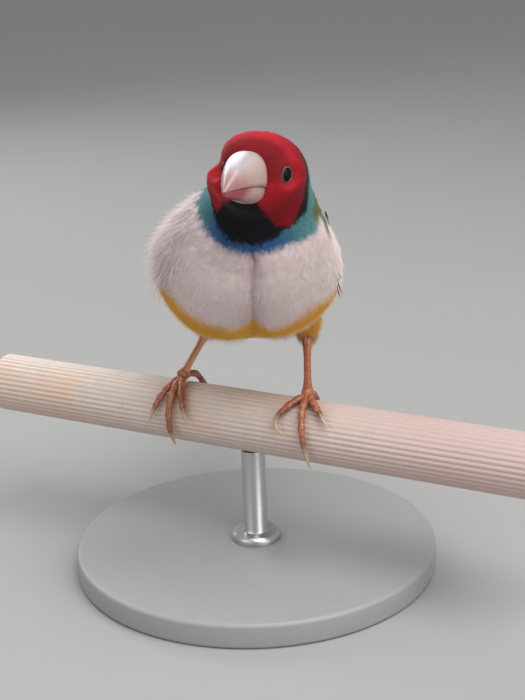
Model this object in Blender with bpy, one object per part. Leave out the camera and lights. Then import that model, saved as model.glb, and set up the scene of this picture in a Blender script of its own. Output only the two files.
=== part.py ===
"""A red-headed Gouldian finch, life size and still, gripping a short fluted perch on a plain stand.

The bird faces -Y with its tail towards +Y, and +Z is up. The origin is the middle of the
stand's underside. Lengths are metres and angles are degrees.
"""

import math
from typing import NamedTuple

import bmesh
import bpy
import numpy as np
from mathutils import Vector

MM = 0.001
GAP = 0.3 * MM  # clearance between pieces that touch

# Stand and perch
BASE_RADIUS = 36 * MM
BASE_HEIGHT = 5 * MM
BASE_CHAMFER = 0.8 * MM
BASE_SIDES = 56
ROD_RADIUS = 2.4 * MM
ROD_FOOT_RADIUS = 5.0 * MM
ROD_FOOT_HEIGHT = 1.6 * MM
ROD_SIDES = 24
PERCH_RADIUS = 6 * MM
PERCH_LENGTH = 120 * MM
PERCH_HEIGHT = 30 * MM  # of its axis over the floor
PERCH_TURN = 28.7  # the perch's +X end is nearer the viewer
FLUTES = 36
FLUTE_DEPTH = 0.28 * MM

# Body
RING_POINTS = 36
TORSO_PITCH = 24.0
HEAD_PITCH = 12.5
HEAD_TURN = 18.0  # towards the bird's right
HEAD_ROLL = 4.5  # towards its left shoulder
BODY_ASIDE = 0.8 * MM  # of the torso's midline from the stand's
HEAD_CENTRE = (2.9 * MM, -19.1 * MM, 50.8 * MM)  # z is over the perch's axis
UNDER_ROUNDING = 0.35  # how much less square the underside is than the back
CLEFT_WIDTH = 0.26  # radians either side of the breast's midline

# Bill, in the head's own directions from HEAD_CENTRE
BILL_ROOT = 7.0 * MM
BILL_TIP = 18.3 * MM
BILL_HALF_WIDTH = 3.5 * MM
CULMEN_RISE = 5.4 * MM  # top of the upper bill at its root
GAPE_RISE = -0.2 * MM  # line of the mouth at the root
GAPE_BOW = 0.35 * MM  # how far it arches between its ends
TIP_RISE = -1.7 * MM
CHIN_RISE = -3.3 * MM
BILL_RINGS = 9
BILL_SIDES = 9  # points across one half

# Eyes
EYE_RADIUS = 1.6 * MM
EYE_FORWARD = 4.8 * MM
EYE_ASIDE = 5.45 * MM
EYE_RISE = 2.25 * MM
EYE_LOOK = 0.45  # how far the eyes face forward, against aside
LID_REACH = 1.35 * MM  # from an eye's centre to the plane of its lids
LID_RADIUS = 1.7 * MM  # of their outer rim
LID_FOOT_RADIUS = 2.25 * MM

# Wings and tail
VANE_THICKNESS = 0.55 * MM
LONG_VANE = (0.0, 0.2, 0.42, 0.65, 0.88, 1.0)
SHORT_VANE = (0.0, 0.4, 0.78, 1.0)
TAIL_PITCH = 22.0
TAIL_PAIRS = 6
CENTRAL_LENGTH = 50 * MM
SIDE_LENGTHS = (39 * MM, 30 * MM)  # the second pair and the outermost

# Legs
ANKLE_RADIUS = 1.25 * MM
SHANK_RADIUS = 0.72 * MM
TOE_RADIUS = 0.78 * MM
TOE_SIDES = 7
CLAW_SIDES = 6


class Station(NamedTuple):
    """One cross-section of the body on its way from over the tail to the bill."""

    aside: float
    behind: float
    height: float
    pitch: float
    turn: float
    roll: float
    half_width: float
    above: float
    below: float
    squareness: float
    cleft: float


def torso_station(ahead, half_width, above, below, squareness=2.2, cleft=0.0, sag=0.0):
    """A cross-section square to the torso's straight axis, ahead of the point over the perch. It
    is widest at the axis, or that much lower."""
    slope = math.radians(TORSO_PITCH)
    return Station(
        BODY_ASIDE / MM,
        -ahead * math.cos(slope) - sag * math.sin(slope),
        31 + ahead * math.sin(slope) - sag * math.cos(slope),
        TORSO_PITCH,
        0.0,
        0.0,
        half_width,
        above + sag,
        below - sag,
        squareness,
        cleft,
    )


def neck_station(bottom, top, aside, turned, half_width, squareness=2.1, cleft=0.0):
    """A cross-section given by its lowest and highest points as (y, height), turned a share of
    the way that the head is."""
    rise = top[1] - bottom[1]
    run = top[0] - bottom[0]
    depth = math.hypot(rise, run) / 2
    pitch = math.degrees(math.atan2(run, rise))
    behind = (bottom[0] + top[0]) / 2
    height = (bottom[1] + top[1]) / 2
    turn = HEAD_TURN * turned
    roll = HEAD_ROLL * turned
    return Station(
        aside, behind, height, pitch, turn, roll, half_width, depth, depth, squareness, cleft
    )


def head_station(bottom, top, half_width, middle=0.5):
    """A cross-section of the head given by its lowest and highest points as (ahead, rise) from
    the head's centre. The middle is where it is widest, as a share of the way up."""
    rise = top[1] - bottom[1]
    run = top[0] - bottom[0]
    depth = math.hypot(rise, run)
    ahead = bottom[0] + run * middle
    centre = head_place(ahead * MM, 0.0, (bottom[1] + rise * middle) * MM) / MM
    pitch = HEAD_PITCH - math.degrees(math.atan2(run, rise))
    return Station(
        centre.x,
        centre.y,
        centre.z - PERCH_HEIGHT / MM,
        pitch,
        HEAD_TURN,
        HEAD_ROLL,
        half_width,
        depth * (1 - middle),
        depth * middle,
        2.05,
        0.0,
    )


def directions(pitch, turn, roll=0.0):
    """Forward, left and up for something pitched up, turned to the bird's right and rolled
    towards its left."""
    p = math.radians(pitch)
    t = math.radians(turn)
    r = math.radians(roll)
    forward = Vector((-math.sin(t) * math.cos(p), -math.cos(t) * math.cos(p), math.sin(p)))
    level = Vector((math.cos(t), -math.sin(t), 0.0))
    upright = Vector((math.sin(t) * math.sin(p), math.cos(t) * math.sin(p), math.cos(p)))
    left = level * math.cos(r) - upright * math.sin(r)
    up = upright * math.cos(r) + level * math.sin(r)
    return forward, left, up


def head_place(ahead, left, rise):
    """A point given in the head's own directions."""
    forward, side, up = directions(HEAD_PITCH, HEAD_TURN, HEAD_ROLL)
    centre = Vector(HEAD_CENTRE) + Vector((0, 0, PERCH_HEIGHT))
    return centre + forward * ahead + side * left + up * rise


# Cross-sections in millimetres, from over the tail to the bill
STATIONS = (
    torso_station(-66, 3.2, 2.9, 2.0),
    torso_station(-56, 4.0, 3.2, 2.4),
    torso_station(-46, 4.4, 3.4, 3.4),
    torso_station(-38, 7.4, 5.6, 6.2),
    torso_station(-28, 11.0, 8.6, 9.4, cleft=0.02, sag=0.3),
    torso_station(-16, 14.0, 11.8, 12.2, cleft=0.05, sag=0.8),
    torso_station(-5, 14.6, 13.7, 13.9, 2.25, cleft=0.09, sag=1.6),
    torso_station(4, 16.0, 14.4, 14.8, 2.25, cleft=0.11, sag=2.6),
    torso_station(10.5, 16.6, 14.0, 14.8, 2.2, cleft=0.11, sag=2.6),
    neck_station((-21.6, 29.6), (-4.6, 49.4), 1.4, 0.1, 14.2, 2.2, 0.08),
    neck_station((-22.9, 36.4), (-7.2, 51.6), 2.6, 0.4, 12.0, 2.2, 0.02),
    neck_station((-22.7, 41.0), (-9.7, 53.8), 3.0, 0.7, 9.6),
    neck_station((-22.9, 43.4), (-11.8, 56.4), 3.2, 0.9, 8.7),
    head_station((3.0, -6.4), (-2.6, 8.7), 8.6, 0.5),
    head_station((4.4, -5.4), (1.6, 9.1), 8.5, 0.5),
    head_station((5.6, -4.9), (4.7, 7.9), 7.4, 0.49),
    head_station((6.5, -4.5), (6.5, 6.7), 6.0, 0.48),
    head_station((7.0, -4.0), (7.0, 6.0), 4.8, 0.48),
)
TAIL_ROOT = 2.0  # places along the body, counted in stations
COLLAR_LOW = 10.5
COLLAR_HIGH = 11.0
FACE = len(STATIONS) - 1.0
TABLE = np.array(STATIONS)


def section(place):
    """The station at a place along the body, smoothly between the ones given."""
    last = len(STATIONS) - 1
    k = min(max(int(math.floor(place)), 0), last - 1)
    t = place - k
    before = TABLE[max(k - 1, 0)]
    start = TABLE[k]
    end = TABLE[k + 1]
    after = TABLE[min(k + 2, last)]
    bend = 2 * before - 5 * start + 4 * end - after
    twist = 3 * start - before - 3 * end + after
    return Station(*(start + 0.5 * t * (end - before + t * (bend + t * twist))))


def body_point(place, angle, lift=0.0, shift=0.0):
    """A point of the body's surface. The angle in radians runs from the back towards the left."""
    s = section(place)
    forward, left, up = directions(s.pitch, s.turn, s.roll)
    sine = math.sin(angle)
    cosine = math.cos(angle)
    power = 2 / (s.squareness - (UNDER_ROUNDING if cosine < 0 else 0.0))
    half_width = s.half_width * MM + lift
    depth = (s.above if cosine > 0 else s.below) * MM + lift
    from_midline = (abs(math.remainder(angle - math.pi, math.tau))) / CLEFT_WIDTH
    fold = 1 - s.cleft * math.exp(-from_midline * from_midline)
    aside = half_width * math.copysign(abs(sine) ** power, sine) * fold
    rise = depth * math.copysign(abs(cosine) ** power, cosine) * fold
    centre = Vector((s.aside, s.behind, s.height)) * MM + Vector((0, 0, PERCH_HEIGHT))
    return centre + forward * shift + left * aside + up * rise


def body_ring(place, lift=0.0, shift=0.0):
    return [
        body_point(place, math.tau * k / RING_POINTS, lift, shift) for k in range(RING_POINTS)
    ]


def finish(name, colour, roughness, metallic=0.0):
    """A material for one kind of surface."""
    material = bpy.data.materials.get(name) or bpy.data.materials.new(name)
    material.use_nodes = True
    shader = material.node_tree.nodes["Principled BSDF"]
    shader.inputs["Base Color"].default_value = (*colour, 1.0)
    shader.inputs["Roughness"].default_value = roughness
    shader.inputs["Metallic"].default_value = metallic
    return material


def make_object(name, points, faces, material=None, sharp_angle=40.0):
    """A mesh object, smooth where its faces meet gently."""
    mesh = bpy.data.meshes.new(name)
    mesh.from_pydata([tuple(p) for p in points], [], faces)
    mesh.validate()
    shape = bmesh.new()
    shape.from_mesh(mesh)
    bmesh.ops.recalc_face_normals(shape, faces=shape.faces)
    shape.to_mesh(mesh)
    shape.free()
    thing = bpy.data.objects.new(name, mesh)
    bpy.context.scene.collection.objects.link(thing)
    if material:
        mesh.materials.append(material)
        smooth(thing, sharp_angle)
    return thing


def smooth(thing, sharp_angle=40.0):
    thing.data.shade_smooth()
    thing.data.set_sharp_from_angle(angle=math.radians(sharp_angle))


def loft(name, rings, material=None, sharp_angle=40.0):
    """A closed solid through rings that all hold as many points."""
    count = len(rings[0])
    points = [p for ring in rings for p in ring]
    faces = []
    for r in range(len(rings) - 1):
        for k in range(count):
            a = r * count + k
            b = r * count + (k + 1) % count
            faces.append((a, b, b + count, a + count))
    faces.append(tuple(range(count - 1, -1, -1)))
    faces.append(tuple(range(len(points) - count, len(points))))
    return make_object(name, points, faces, material, sharp_angle)


def slab(name, top, bottom):
    """A thin closed solid between two matching grids of points, split alike on both faces."""
    rows = len(top)
    columns = len(top[0])
    points = [p for row in top for p in row] + [p for row in bottom for p in row]
    under = rows * columns
    faces = []
    for r in range(rows - 1):
        for c in range(columns - 1):
            a = r * columns + c
            b, d, e = a + 1, a + columns, a + columns + 1
            faces += [(a, b, e), (a, e, d)]
            faces += [(under + a, under + e, under + b), (under + a, under + d, under + e)]
    rim = [c for c in range(columns)]
    rim += [r * columns + columns - 1 for r in range(1, rows)]
    rim += [(rows - 1) * columns + c for c in range(columns - 2, -1, -1)]
    rim += [r * columns for r in range(rows - 2, 0, -1)]
    for a, b in zip(rim, rim[1:] + rim[:1]):
        faces += [(a, under + b, b), (a, under + a, under + b)]
    return make_object(name, points, faces)


def tube(name, path, radii, sides, material=None, squash=1.0):
    """A tapering round solid along a path of (point, outward direction) pairs."""
    centres = [p for p, _ in path]
    rings = []
    for k, (centre, outward) in enumerate(path):
        along = (centres[min(k + 1, len(path) - 1)] - centres[max(k - 1, 0)]).normalized()
        aside = along.cross(outward).normalized()
        over = aside.cross(along)
        turns = [math.tau * j / sides for j in range(sides)]
        rings.append(
            [
                centre + (aside * math.cos(t) + over * math.sin(t) * squash) * radii[k]
                for t in turns
            ]
        )
    return loft(name, rings, material)


def combine(target, others, operation, solver="EXACT"):
    """Joins or cuts the target by the other objects, which are then removed."""
    group = bpy.data.collections.new("operands")
    bpy.context.scene.collection.children.link(group)
    for other in others:
        bpy.context.scene.collection.objects.unlink(other)
        group.objects.link(other)
    modifier = target.modifiers.new("combine", "BOOLEAN")
    modifier.operation = operation
    modifier.solver = solver
    modifier.operand_type = "COLLECTION"
    modifier.collection = group
    graph = bpy.context.evaluated_depsgraph_get()
    mesh = bpy.data.meshes.new_from_object(target.evaluated_get(graph))
    target.modifiers.clear()
    target.data = mesh
    for other in others:
        bpy.data.objects.remove(other)
    bpy.data.collections.remove(group)
    keep_largest(target)


def keep_largest(thing):
    """Drops every closed surface of the mesh but its largest."""
    shape = bmesh.new()
    shape.from_mesh(thing.data)
    unseen = set(shape.verts)
    groups = []
    while unseen:
        group = []
        ahead = [unseen.pop()]
        while ahead:
            vertex = ahead.pop()
            group.append(vertex)
            for edge in vertex.link_edges:
                other = edge.other_vert(vertex)
                if other in unseen:
                    unseen.remove(other)
                    ahead.append(other)
        groups.append(group)
    groups.sort(key=len)
    for group in groups[:-1]:
        bmesh.ops.delete(shape, geom=group, context="VERTS")
    shape.to_mesh(thing.data)
    shape.free()


def dress(thing, material, sharp_angle=40.0):
    """Gives a combined object its one material and its shading."""
    thing.data.materials.clear()
    thing.data.materials.append(material)
    smooth(thing, sharp_angle)


def places_between(first, last, count):
    return [first + (last - first) * k / (count - 1) for k in range(count)]


def make_torso(plumage):
    places = places_between(TAIL_ROOT, COLLAR_LOW, 18)
    rings = [body_ring(places[0], shift=GAP / 2)]
    rings += [body_ring(p) for p in places[1:-1]]
    rings.append(body_ring(places[-1], shift=-GAP / 2))
    return loft("torso", rings, plumage)


def make_neck(plumage):
    middle = (COLLAR_LOW + COLLAR_HIGH) / 2
    rings = [
        body_ring(COLLAR_LOW, shift=GAP / 2),
        body_ring(middle),
        body_ring(COLLAR_HIGH, shift=-GAP / 2),
    ]
    return loft("neck", rings, plumage)


def eye_centre(side):
    return head_place(EYE_FORWARD, EYE_ASIDE * side, EYE_RISE)


def eye_outward(side):
    """The way an eye looks: mostly sideways, a little forward."""
    forward, left, _ = directions(HEAD_PITCH, HEAD_TURN, HEAD_ROLL)
    return (left * side + forward * EYE_LOOK).normalized()


def ball(name, centre, radius, material=None, segments=16):
    """A sphere with as many rings as half its segments."""
    mesh = bpy.data.meshes.new(name)
    shape = bmesh.new()
    bmesh.ops.create_uvsphere(
        shape, u_segments=segments, v_segments=segments // 2, radius=radius
    )
    bmesh.ops.translate(shape, vec=centre, verts=shape.verts)
    shape.to_mesh(mesh)
    shape.free()
    thing = bpy.data.objects.new(name, mesh)
    bpy.context.scene.collection.objects.link(thing)
    if material:
        mesh.materials.append(material)
        smooth(thing)
    return thing


def lid_mound(side):
    """The low mound whose rim is both lids, once it is hollowed for the eye."""
    outward = eye_outward(side)
    across = outward.orthogonal().normalized()
    over = outward.cross(across)
    rings = []
    for radius, reach in (
        (LID_FOOT_RADIUS, -0.6 * MM),
        (LID_FOOT_RADIUS, 0.2 * MM),
        (LID_RADIUS + 0.12 * MM, LID_REACH - 0.2 * MM),
        (LID_RADIUS, LID_REACH),
    ):
        centre = eye_centre(side) + outward * reach
        turns = [math.tau * k / 18 for k in range(18)]
        rings.append(
            [centre + (across * math.cos(t) + over * math.sin(t)) * radius for t in turns]
        )
    return loft("lids", rings)


def make_head(plumage):
    """The head with its lids, hollowed for the eyes."""
    places = places_between(COLLAR_HIGH, FACE, 13)
    rings = [body_ring(places[0], shift=GAP / 2)]
    rings += [body_ring(p) for p in places[1:]]
    head = loft("head", rings)
    combine(head, [lid_mound(side) for side in (-1, 1)], "UNION")
    sockets = [
        ball("socket", eye_centre(side), EYE_RADIUS + GAP, segments=14) for side in (-1, 1)
    ]
    combine(head, sockets, "DIFFERENCE")
    dress(head, plumage)
    return head


def make_eyes(gloss):
    for side, name in ((1, "eye_left"), (-1, "eye_right")):
        ball(name, eye_centre(side), EYE_RADIUS, gloss, segments=16)


def gape_line(share):
    """Height of the mouth's line, from the root to the tip of the bill."""
    straight = GAPE_RISE + (TIP_RISE - GAPE_RISE) * share**1.3
    return straight + GAPE_BOW * math.sin(math.pi * min(1.0, share))


def bill_half(name, edge_gap, outer_line, horn, reach, breadth=1.0):
    """Half of the bill: flat at the mouth and rounded outside, tapering to a point."""
    rings = []
    for k in range(BILL_RINGS):
        share = reach * k / (BILL_RINGS - 1)
        ahead = BILL_ROOT + GAP + (BILL_TIP - BILL_ROOT - GAP) * share
        half_width = BILL_HALF_WIDTH * breadth * (1 - share**1.75) + 0.2 * MM
        edge = gape_line(share) + edge_gap
        outer = outer_line(share)
        ring = []
        for j in range(BILL_SIDES):
            t = math.pi * j / (BILL_SIDES - 1)
            aside = half_width * math.copysign(abs(math.cos(t)) ** 0.9, math.cos(t))
            rise = edge + (outer - edge) * math.sin(t) ** 0.95
            ring.append(head_place(ahead, aside, rise))
        rings.append(ring)
    return loft(name, rings, horn)


def make_bill(horn):
    def culmen(share):
        return TIP_RISE + 0.2 * MM + (CULMEN_RISE - TIP_RISE) * (1 - share**2)

    def gonys(share):
        return CHIN_RISE + (TIP_RISE - 0.6 * MM - CHIN_RISE) * share**1.6

    upper = bill_half("upper_bill", GAP / 2, culmen, horn, 1.0)
    pits = []
    for side in (-1, 1):
        pits.append(ball("pit", head_place(8.0 * MM, 2.3 * MM * side, 4.1 * MM), 0.5 * MM, segments=8))
    combine(upper, pits, "DIFFERENCE")
    dress(upper, horn)
    bill_half("lower_bill", -GAP / 2, gonys, horn, 0.93, 0.93)


def vane_width(share, pointed):
    """Half width of a feather along its length, as a share of its widest."""
    body = 0.62 + 0.38 * math.sin(math.pi * min(share, 0.6) / 1.2)
    end = max(0.0, (share - 0.6) / 0.4)
    return body * (1 - end**2.2 * (0.86 if pointed else 0.68))


def body_vane(root, tip, half_width, lifts, side, pointed, rows):
    """A feather lying on the body. Root and tip are (place, angle); lifts are its bottom's height
    over the skin at the root and the tip, and how much higher its lower edge stands."""
    top = []
    bottom = []
    for share in rows:
        place = root[0] + (tip[0] - root[0]) * share
        angle = math.radians(root[1] + (tip[1] - root[1]) * share)
        s = section(place)
        reach = math.hypot(
            s.half_width * math.sin(angle), s.above * math.cos(angle)
        ) * MM
        spread = half_width * vane_width(share, pointed) / reach
        lift = lifts[0] + (lifts[1] - lifts[0]) * share
        tops = []
        bottoms = []
        for across in (-1, 0, 1):
            raised = lift + lifts[2] * (across + 1) / 2
            crown = 0.12 * MM if across == 0 else 0.0
            at = (angle + spread * across) * side
            tops.append(body_point(place, at, raised + crown + VANE_THICKNESS))
            bottoms.append(body_point(place, at, raised + crown))
        top.append(tops)
        bottom.append(bottoms)
    return slab("vane", top, bottom)


class Tier(NamedTuple):
    """A row of like feathers, from the one nearest the back to the lowest one."""

    count: int
    first_root: tuple
    last_root: tuple
    first_tip: tuple
    last_tip: tuple
    half_width: float
    lifts: tuple
    pointed: bool
    rows: tuple


FLIGHTS = (
    Tier(8, (5.6, 62), (5.5, 80), (1.75, 27), (0.55, 38), 2.3 * MM,
         (0.6 * MM, 0.6 * MM, 0.6 * MM), True, LONG_VANE),
    Tier(6, (6.1, 34), (5.7, 62), (3.15, 21), (1.85, 32), 2.9 * MM,
         (0.6 * MM, 1.2 * MM, 0.5 * MM), False, LONG_VANE),
    Tier(7, (6.5, 38), (6.1, 79), (4.8, 36), (4.3, 76), 2.6 * MM,
         (0.7 * MM, 1.5 * MM, 0.45 * MM), False, SHORT_VANE),
    Tier(7, (6.8, 40), (6.5, 77), (5.6, 38), (5.3, 77), 2.4 * MM,
         (0.7 * MM, 1.9 * MM, 0.4 * MM), False, SHORT_VANE),
)


def between(first, last, share):
    return tuple(a + (b - a) * share for a, b in zip(first, last))


WING_ARM = ((6.9, 48, 70), (6.6, 38, 77), (6.1, 32, 82), (5.5, 30, 81), (5.0, 30, 75))


def wing_arm(side):
    """The flat of the folded wing under its coverts, from the bend back."""
    top = []
    bottom = []
    for place, high, low in WING_ARM:
        angles = [math.radians(high + (low - high) * k / 5) * side for k in range(6)]
        top.append([body_point(place, a, 1.3 * MM) for a in angles])
        bottom.append([body_point(place, a, 0.4 * MM) for a in angles])
    return slab("arm", top, bottom)


def make_wing(side, name, plumage):
    wing = wing_arm(side)
    wing.name = name
    feathers = []
    for tier in FLIGHTS:
        for k in range(tier.count):
            share = k / (tier.count - 1)
            root = between(tier.first_root, tier.last_root, share)
            tip = between(tier.first_tip, tier.last_tip, share)
            feathers.append(
                body_vane(
                    root, tip, tier.half_width, tier.lifts, side, tier.pointed, tier.rows
                )
            )
    combine(wing, feathers, "UNION", "MANIFOLD")
    dress(wing, plumage, 25.0)


def tail_point(behind, aside, rise):
    """A point over the tail's own straight line, from the tail's root."""
    s = section(TAIL_ROOT)
    forward, left, up = directions(TAIL_PITCH, 0.0)
    root = Vector((s.aside, s.behind, s.height)) * MM + Vector((0, 0, PERCH_HEIGHT))
    return root - forward * (behind + GAP / 2) + left * aside + up * rise


def tail_vane(length, fan, rise, half_width, pin, rows, start_aside=0.0):
    """A tail feather fanned out by an angle, its end drawn out to a pin or rounded."""
    slope = math.tan(math.radians(fan))
    start = 1.0 * MM
    top = []
    bottom = []
    for share in rows:
        behind = start + length * share
        if pin:
            width = half_width * max(0.16, vane_width(share, True) - 0.75 * max(0.0, share - 0.5))
        else:
            width = half_width * vane_width(share, False)
        middle = start_aside + (behind - start) * slope
        tops = []
        bottoms = []
        for across in (-1, 0, 1):
            crown = 0.1 * MM if across == 0 else 0.0
            aside = middle + width * across
            sag = -0.035 * abs(aside)
            tops.append(tail_point(behind, aside, rise + sag + crown + VANE_THICKNESS / 2))
            bottoms.append(tail_point(behind, aside, rise + sag + crown - VANE_THICKNESS / 2))
        top.append(tops)
        bottom.append(bottoms)
    return slab("vane", top, bottom)


def tail_block():
    """What the tail feathers grow from, shaped as the end of the torso."""
    s = section(TAIL_ROOT)
    rings = []
    for behind, size in ((0.0, 0.96), (3 * MM, 0.86), (7 * MM, 0.62)):
        ring = []
        for k in range(20):
            t = math.tau * k / 20
            depth = (s.above if math.cos(t) > 0 else s.below) * MM
            ring.append(
                tail_point(
                    behind, s.half_width * MM * size * math.sin(t), depth * size * math.cos(t)
                )
            )
        rings.append(ring)
    return loft("tail", rings)


def make_tail(plumage):
    """Six pairs of feathers in steps, the central pair longest, with coverts over and under them."""
    tail = tail_block()
    feathers = []
    for pair in range(TAIL_PAIRS):
        share = max(0.0, (pair - 1) / (TAIL_PAIRS - 2))
        length = SIDE_LENGTHS[0] + (SIDE_LENGTHS[1] - SIDE_LENGTHS[0]) * share
        for side in (-1, 1):
            feathers.append(
                tail_vane(
                    CENTRAL_LENGTH if pair == 0 else length,
                    side * (0.5 + 1.15 * pair),
                    (0.9 - 0.36 * pair) * MM + side * 0.04 * MM,
                    (1.7 if pair == 0 else 2.1) * MM,
                    pair == 0,
                    LONG_VANE if pair == 0 else SHORT_VANE,
                    start_aside=side * (0.75 + 0.3 * pair) * MM,
                )
            )
    for over in (1, -1):
        for k in range(5):
            aside = (k - 2) * 1.3 * MM
            feathers.append(
                tail_vane(
                    (13 - abs(k - 2) * 1.5) * MM,
                    (k - 2) * 1.4,
                    (1.9 if over > 0 else -1.9) * MM - over * abs(k - 2) * 0.25 * MM,
                    1.6 * MM,
                    False,
                    SHORT_VANE,
                    start_aside=aside,
                )
            )
    combine(tail, feathers, "UNION", "MANIFOLD")
    dress(tail, plumage, 25.0)


class Leg(NamedTuple):
    """One leg. Along is where its foot stands on the perch, from the perch's middle."""

    name: str
    along: float
    heel: tuple
    hip: tuple
    toes: dict


class Toe(NamedTuple):
    """A toe's length, its spread towards the perch's +X end, its claw's length and curl, and how
    far it arches clear of the perch."""

    length: float
    spread: float
    claw: float
    curl_radius: float
    curl_aside: float
    arch: float = 0.0


LEGS = (
    Leg("left", 12.4 * MM, (11.4 * MM, 6.2 * MM, 14.8 * MM), (9.4 * MM, 5 * MM, 24 * MM), {
        "hallux": Toe(6.8 * MM, 8, 4.6 * MM, 7.4 * MM, 0),
        "inner": Toe(6.8 * MM, -30, 5.6 * MM, 2.7 * MM, -78),
        "middle": Toe(11.3 * MM, 12, 5.2 * MM, 16 * MM, 0),
        "outer": Toe(6.9 * MM, 44, 3.4 * MM, 14 * MM, 0),
    }),
    Leg("right", -15.4 * MM, (-8.6 * MM, 14.4 * MM, 14.2 * MM), (-6.8 * MM, 9 * MM, 22 * MM), {
        "hallux": Toe(6.8 * MM, -11, 4.6 * MM, 7.4 * MM, 0, 0.6 * MM),
        "inner": Toe(8.8 * MM, 24, 3.6 * MM, 14 * MM, 0),
        "middle": Toe(12.9 * MM, 3, 4.0 * MM, 14 * MM, 0),
        "outer": Toe(8.8 * MM, -18, 3.6 * MM, 14 * MM, 0),
    }),
)


def perch_axis():
    t = math.radians(PERCH_TURN)
    return Vector((math.cos(t), -math.sin(t), 0.0))


def perch_front():
    t = math.radians(PERCH_TURN)
    return Vector((-math.sin(t), -math.cos(t), 0.0))


def on_perch(along, around, reach):
    """A point near the perch, and the way out from its axis. Around is radians from its top to its front."""
    outward = Vector((0, 0, 1)) * math.cos(around) + perch_front() * math.sin(around)
    return Vector((0, 0, PERCH_HEIGHT)) + perch_axis() * along + outward * reach, outward


def toe_path(along, toe, backward, distance):
    """Where a toe's middle line is, that far from the ankle, wrapped on the perch."""
    spread = math.radians(toe.spread)
    sign = -1 if backward else 1
    reach = PERCH_RADIUS + GAP + TOE_RADIUS
    around = sign * distance * math.cos(spread) / reach
    aside = sign * distance * math.sin(spread)
    arched = toe.arch * math.sin(math.pi * min(1.0, distance / toe.length)) ** 2
    return on_perch(along + aside, around, reach + arched)


def toe_radius(share, joints):
    """Plump pads between the joints, thinner towards the claw."""
    pads = 0.09 * math.cos(math.tau * joints * share)
    return TOE_RADIUS * (1.0 - 0.26 * share) * (1 + pads)


def make_foot(leg, skin):
    """The toes of one foot fused at the ankle."""
    ankle, _ = on_perch(leg.along, 0.0, PERCH_RADIUS + GAP + ANKLE_RADIUS + 0.1 * MM)
    foot = ball("foot_" + leg.name, ankle, ANKLE_RADIUS, segments=12)
    toes = []
    for name, toe in leg.toes.items():
        backward = name == "hallux"
        joints = {"hallux": 2, "inner": 3, "middle": 4, "outer": 4}[name]
        count = 3 * joints + 1
        path = [
            toe_path(leg.along, toe, backward, toe.length * k / (count - 1))
            for k in range(count)
        ]
        radii = [toe_radius(k / (count - 1), joints) for k in range(count)]
        toes.append(tube("toe", path, radii, TOE_SIDES, squash=0.92))
    combine(foot, toes, "UNION", "MANIFOLD")
    dress(foot, skin)


def claw_path(leg, toe, backward, count):
    """A curve that leaves the toe's end straight ahead and bends in or aside."""
    before, _ = toe_path(leg.along, toe, backward, toe.length - 0.2 * MM)
    end, outward = toe_path(leg.along, toe, backward, toe.length)
    ahead = (end - before).normalized()
    aside = ahead.cross(outward).normalized()
    lean = math.radians(toe.curl_aside)
    bend = -outward * math.cos(lean) + aside * math.sin(lean)
    bend = (bend - ahead * bend.dot(ahead)).normalized()
    path = []
    for k in range(count):
        turned = (GAP + toe.claw * k / (count - 1)) / toe.curl_radius
        place = end + ahead * toe.curl_radius * math.sin(turned)
        place += bend * toe.curl_radius * (1 - math.cos(turned))
        path.append((place, outward))
    return path


def make_claws(leg, horn):
    for name, toe in leg.toes.items():
        count = 7
        path = claw_path(leg, toe, name == "hallux", count)
        root = toe_radius(1.0, 1) * 0.8
        radii = [root * (1 - k / (count - 1)) ** 0.7 + 0.08 * MM for k in range(count)]
        tube(f"claw_{leg.name}_{name}", path, radii, CLAW_SIDES, horn, squash=1.15)


def make_shank(leg, skin):
    """The bare leg from the ankle up to the heel, ringed by its scutes."""
    ankle, _ = on_perch(leg.along, 0.0, PERCH_RADIUS + GAP + ANKLE_RADIUS + 0.1 * MM)
    heel = Vector(leg.heel) + Vector((0, 0, PERCH_HEIGHT))
    way = (heel - ankle).normalized()
    start = ankle + way * (ANKLE_RADIUS + GAP)
    end = heel - way * (GAP / 2)
    count = 15
    path = []
    radii = []
    for k in range(count):
        share = k / (count - 1)
        path.append((start.lerp(end, share), Vector((0, -1, 0.2))))
        swell = 0.5 * math.exp(-((share / 0.16) ** 2)) + 0.75 * math.exp(-(((1 - share) / 0.2) ** 2))
        scute = 0.035 * (1 if k % 2 else -1)
        radii.append(SHANK_RADIUS * (1 + swell + scute))
    tube("shank_" + leg.name, path, radii, 10, skin)


def make_thigh(leg, plumage):
    """The feathered upper leg, from the belly to the heel."""
    heel = Vector(leg.heel) + Vector((0, 0, PERCH_HEIGHT))
    hip = Vector(leg.hip) + Vector((0, 0, PERCH_HEIGHT))
    ankle, _ = on_perch(leg.along, 0.0, PERCH_RADIUS + GAP + ANKLE_RADIUS + 0.1 * MM)
    way = (heel - ankle).normalized()
    heel += way * (GAP / 2)
    knee = heel + way * 3 * MM
    forward = Vector((0, -1, 0))
    count = 9
    path = [(heel, forward), (heel + way * 0.4 * MM, forward)]
    radii = [1.3 * MM, 1.45 * MM]
    for k in range(1, count):
        share = k / (count - 1)
        bent = heel.lerp(knee, share).lerp(knee.lerp(hip, share), share)
        path.append((bent, forward))
        radii.append((1.5 + 3.4 * share**0.8) * MM)
    thigh = tube("thigh_" + leg.name, path, radii, 14)
    rings = [body_ring(p, lift=GAP) for p in places_between(TAIL_ROOT, COLLAR_LOW, 21)]
    combine(thigh, [loft("swollen_torso", rings)], "DIFFERENCE")
    dress(thigh, plumage)


def make_perch(plastic):
    """A fluted round bar, cut square at both ends."""
    rings = []
    for end in (-1, 1):
        ring = []
        for k in range(2 * FLUTES):
            reach = PERCH_RADIUS - (FLUTE_DEPTH if k % 2 else 0.0)
            point, _ = on_perch(end * PERCH_LENGTH / 2, math.tau * k / (2 * FLUTES), reach)
            ring.append(point)
        rings.append(ring)
    loft("perch", rings, plastic, 15.0)


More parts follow.
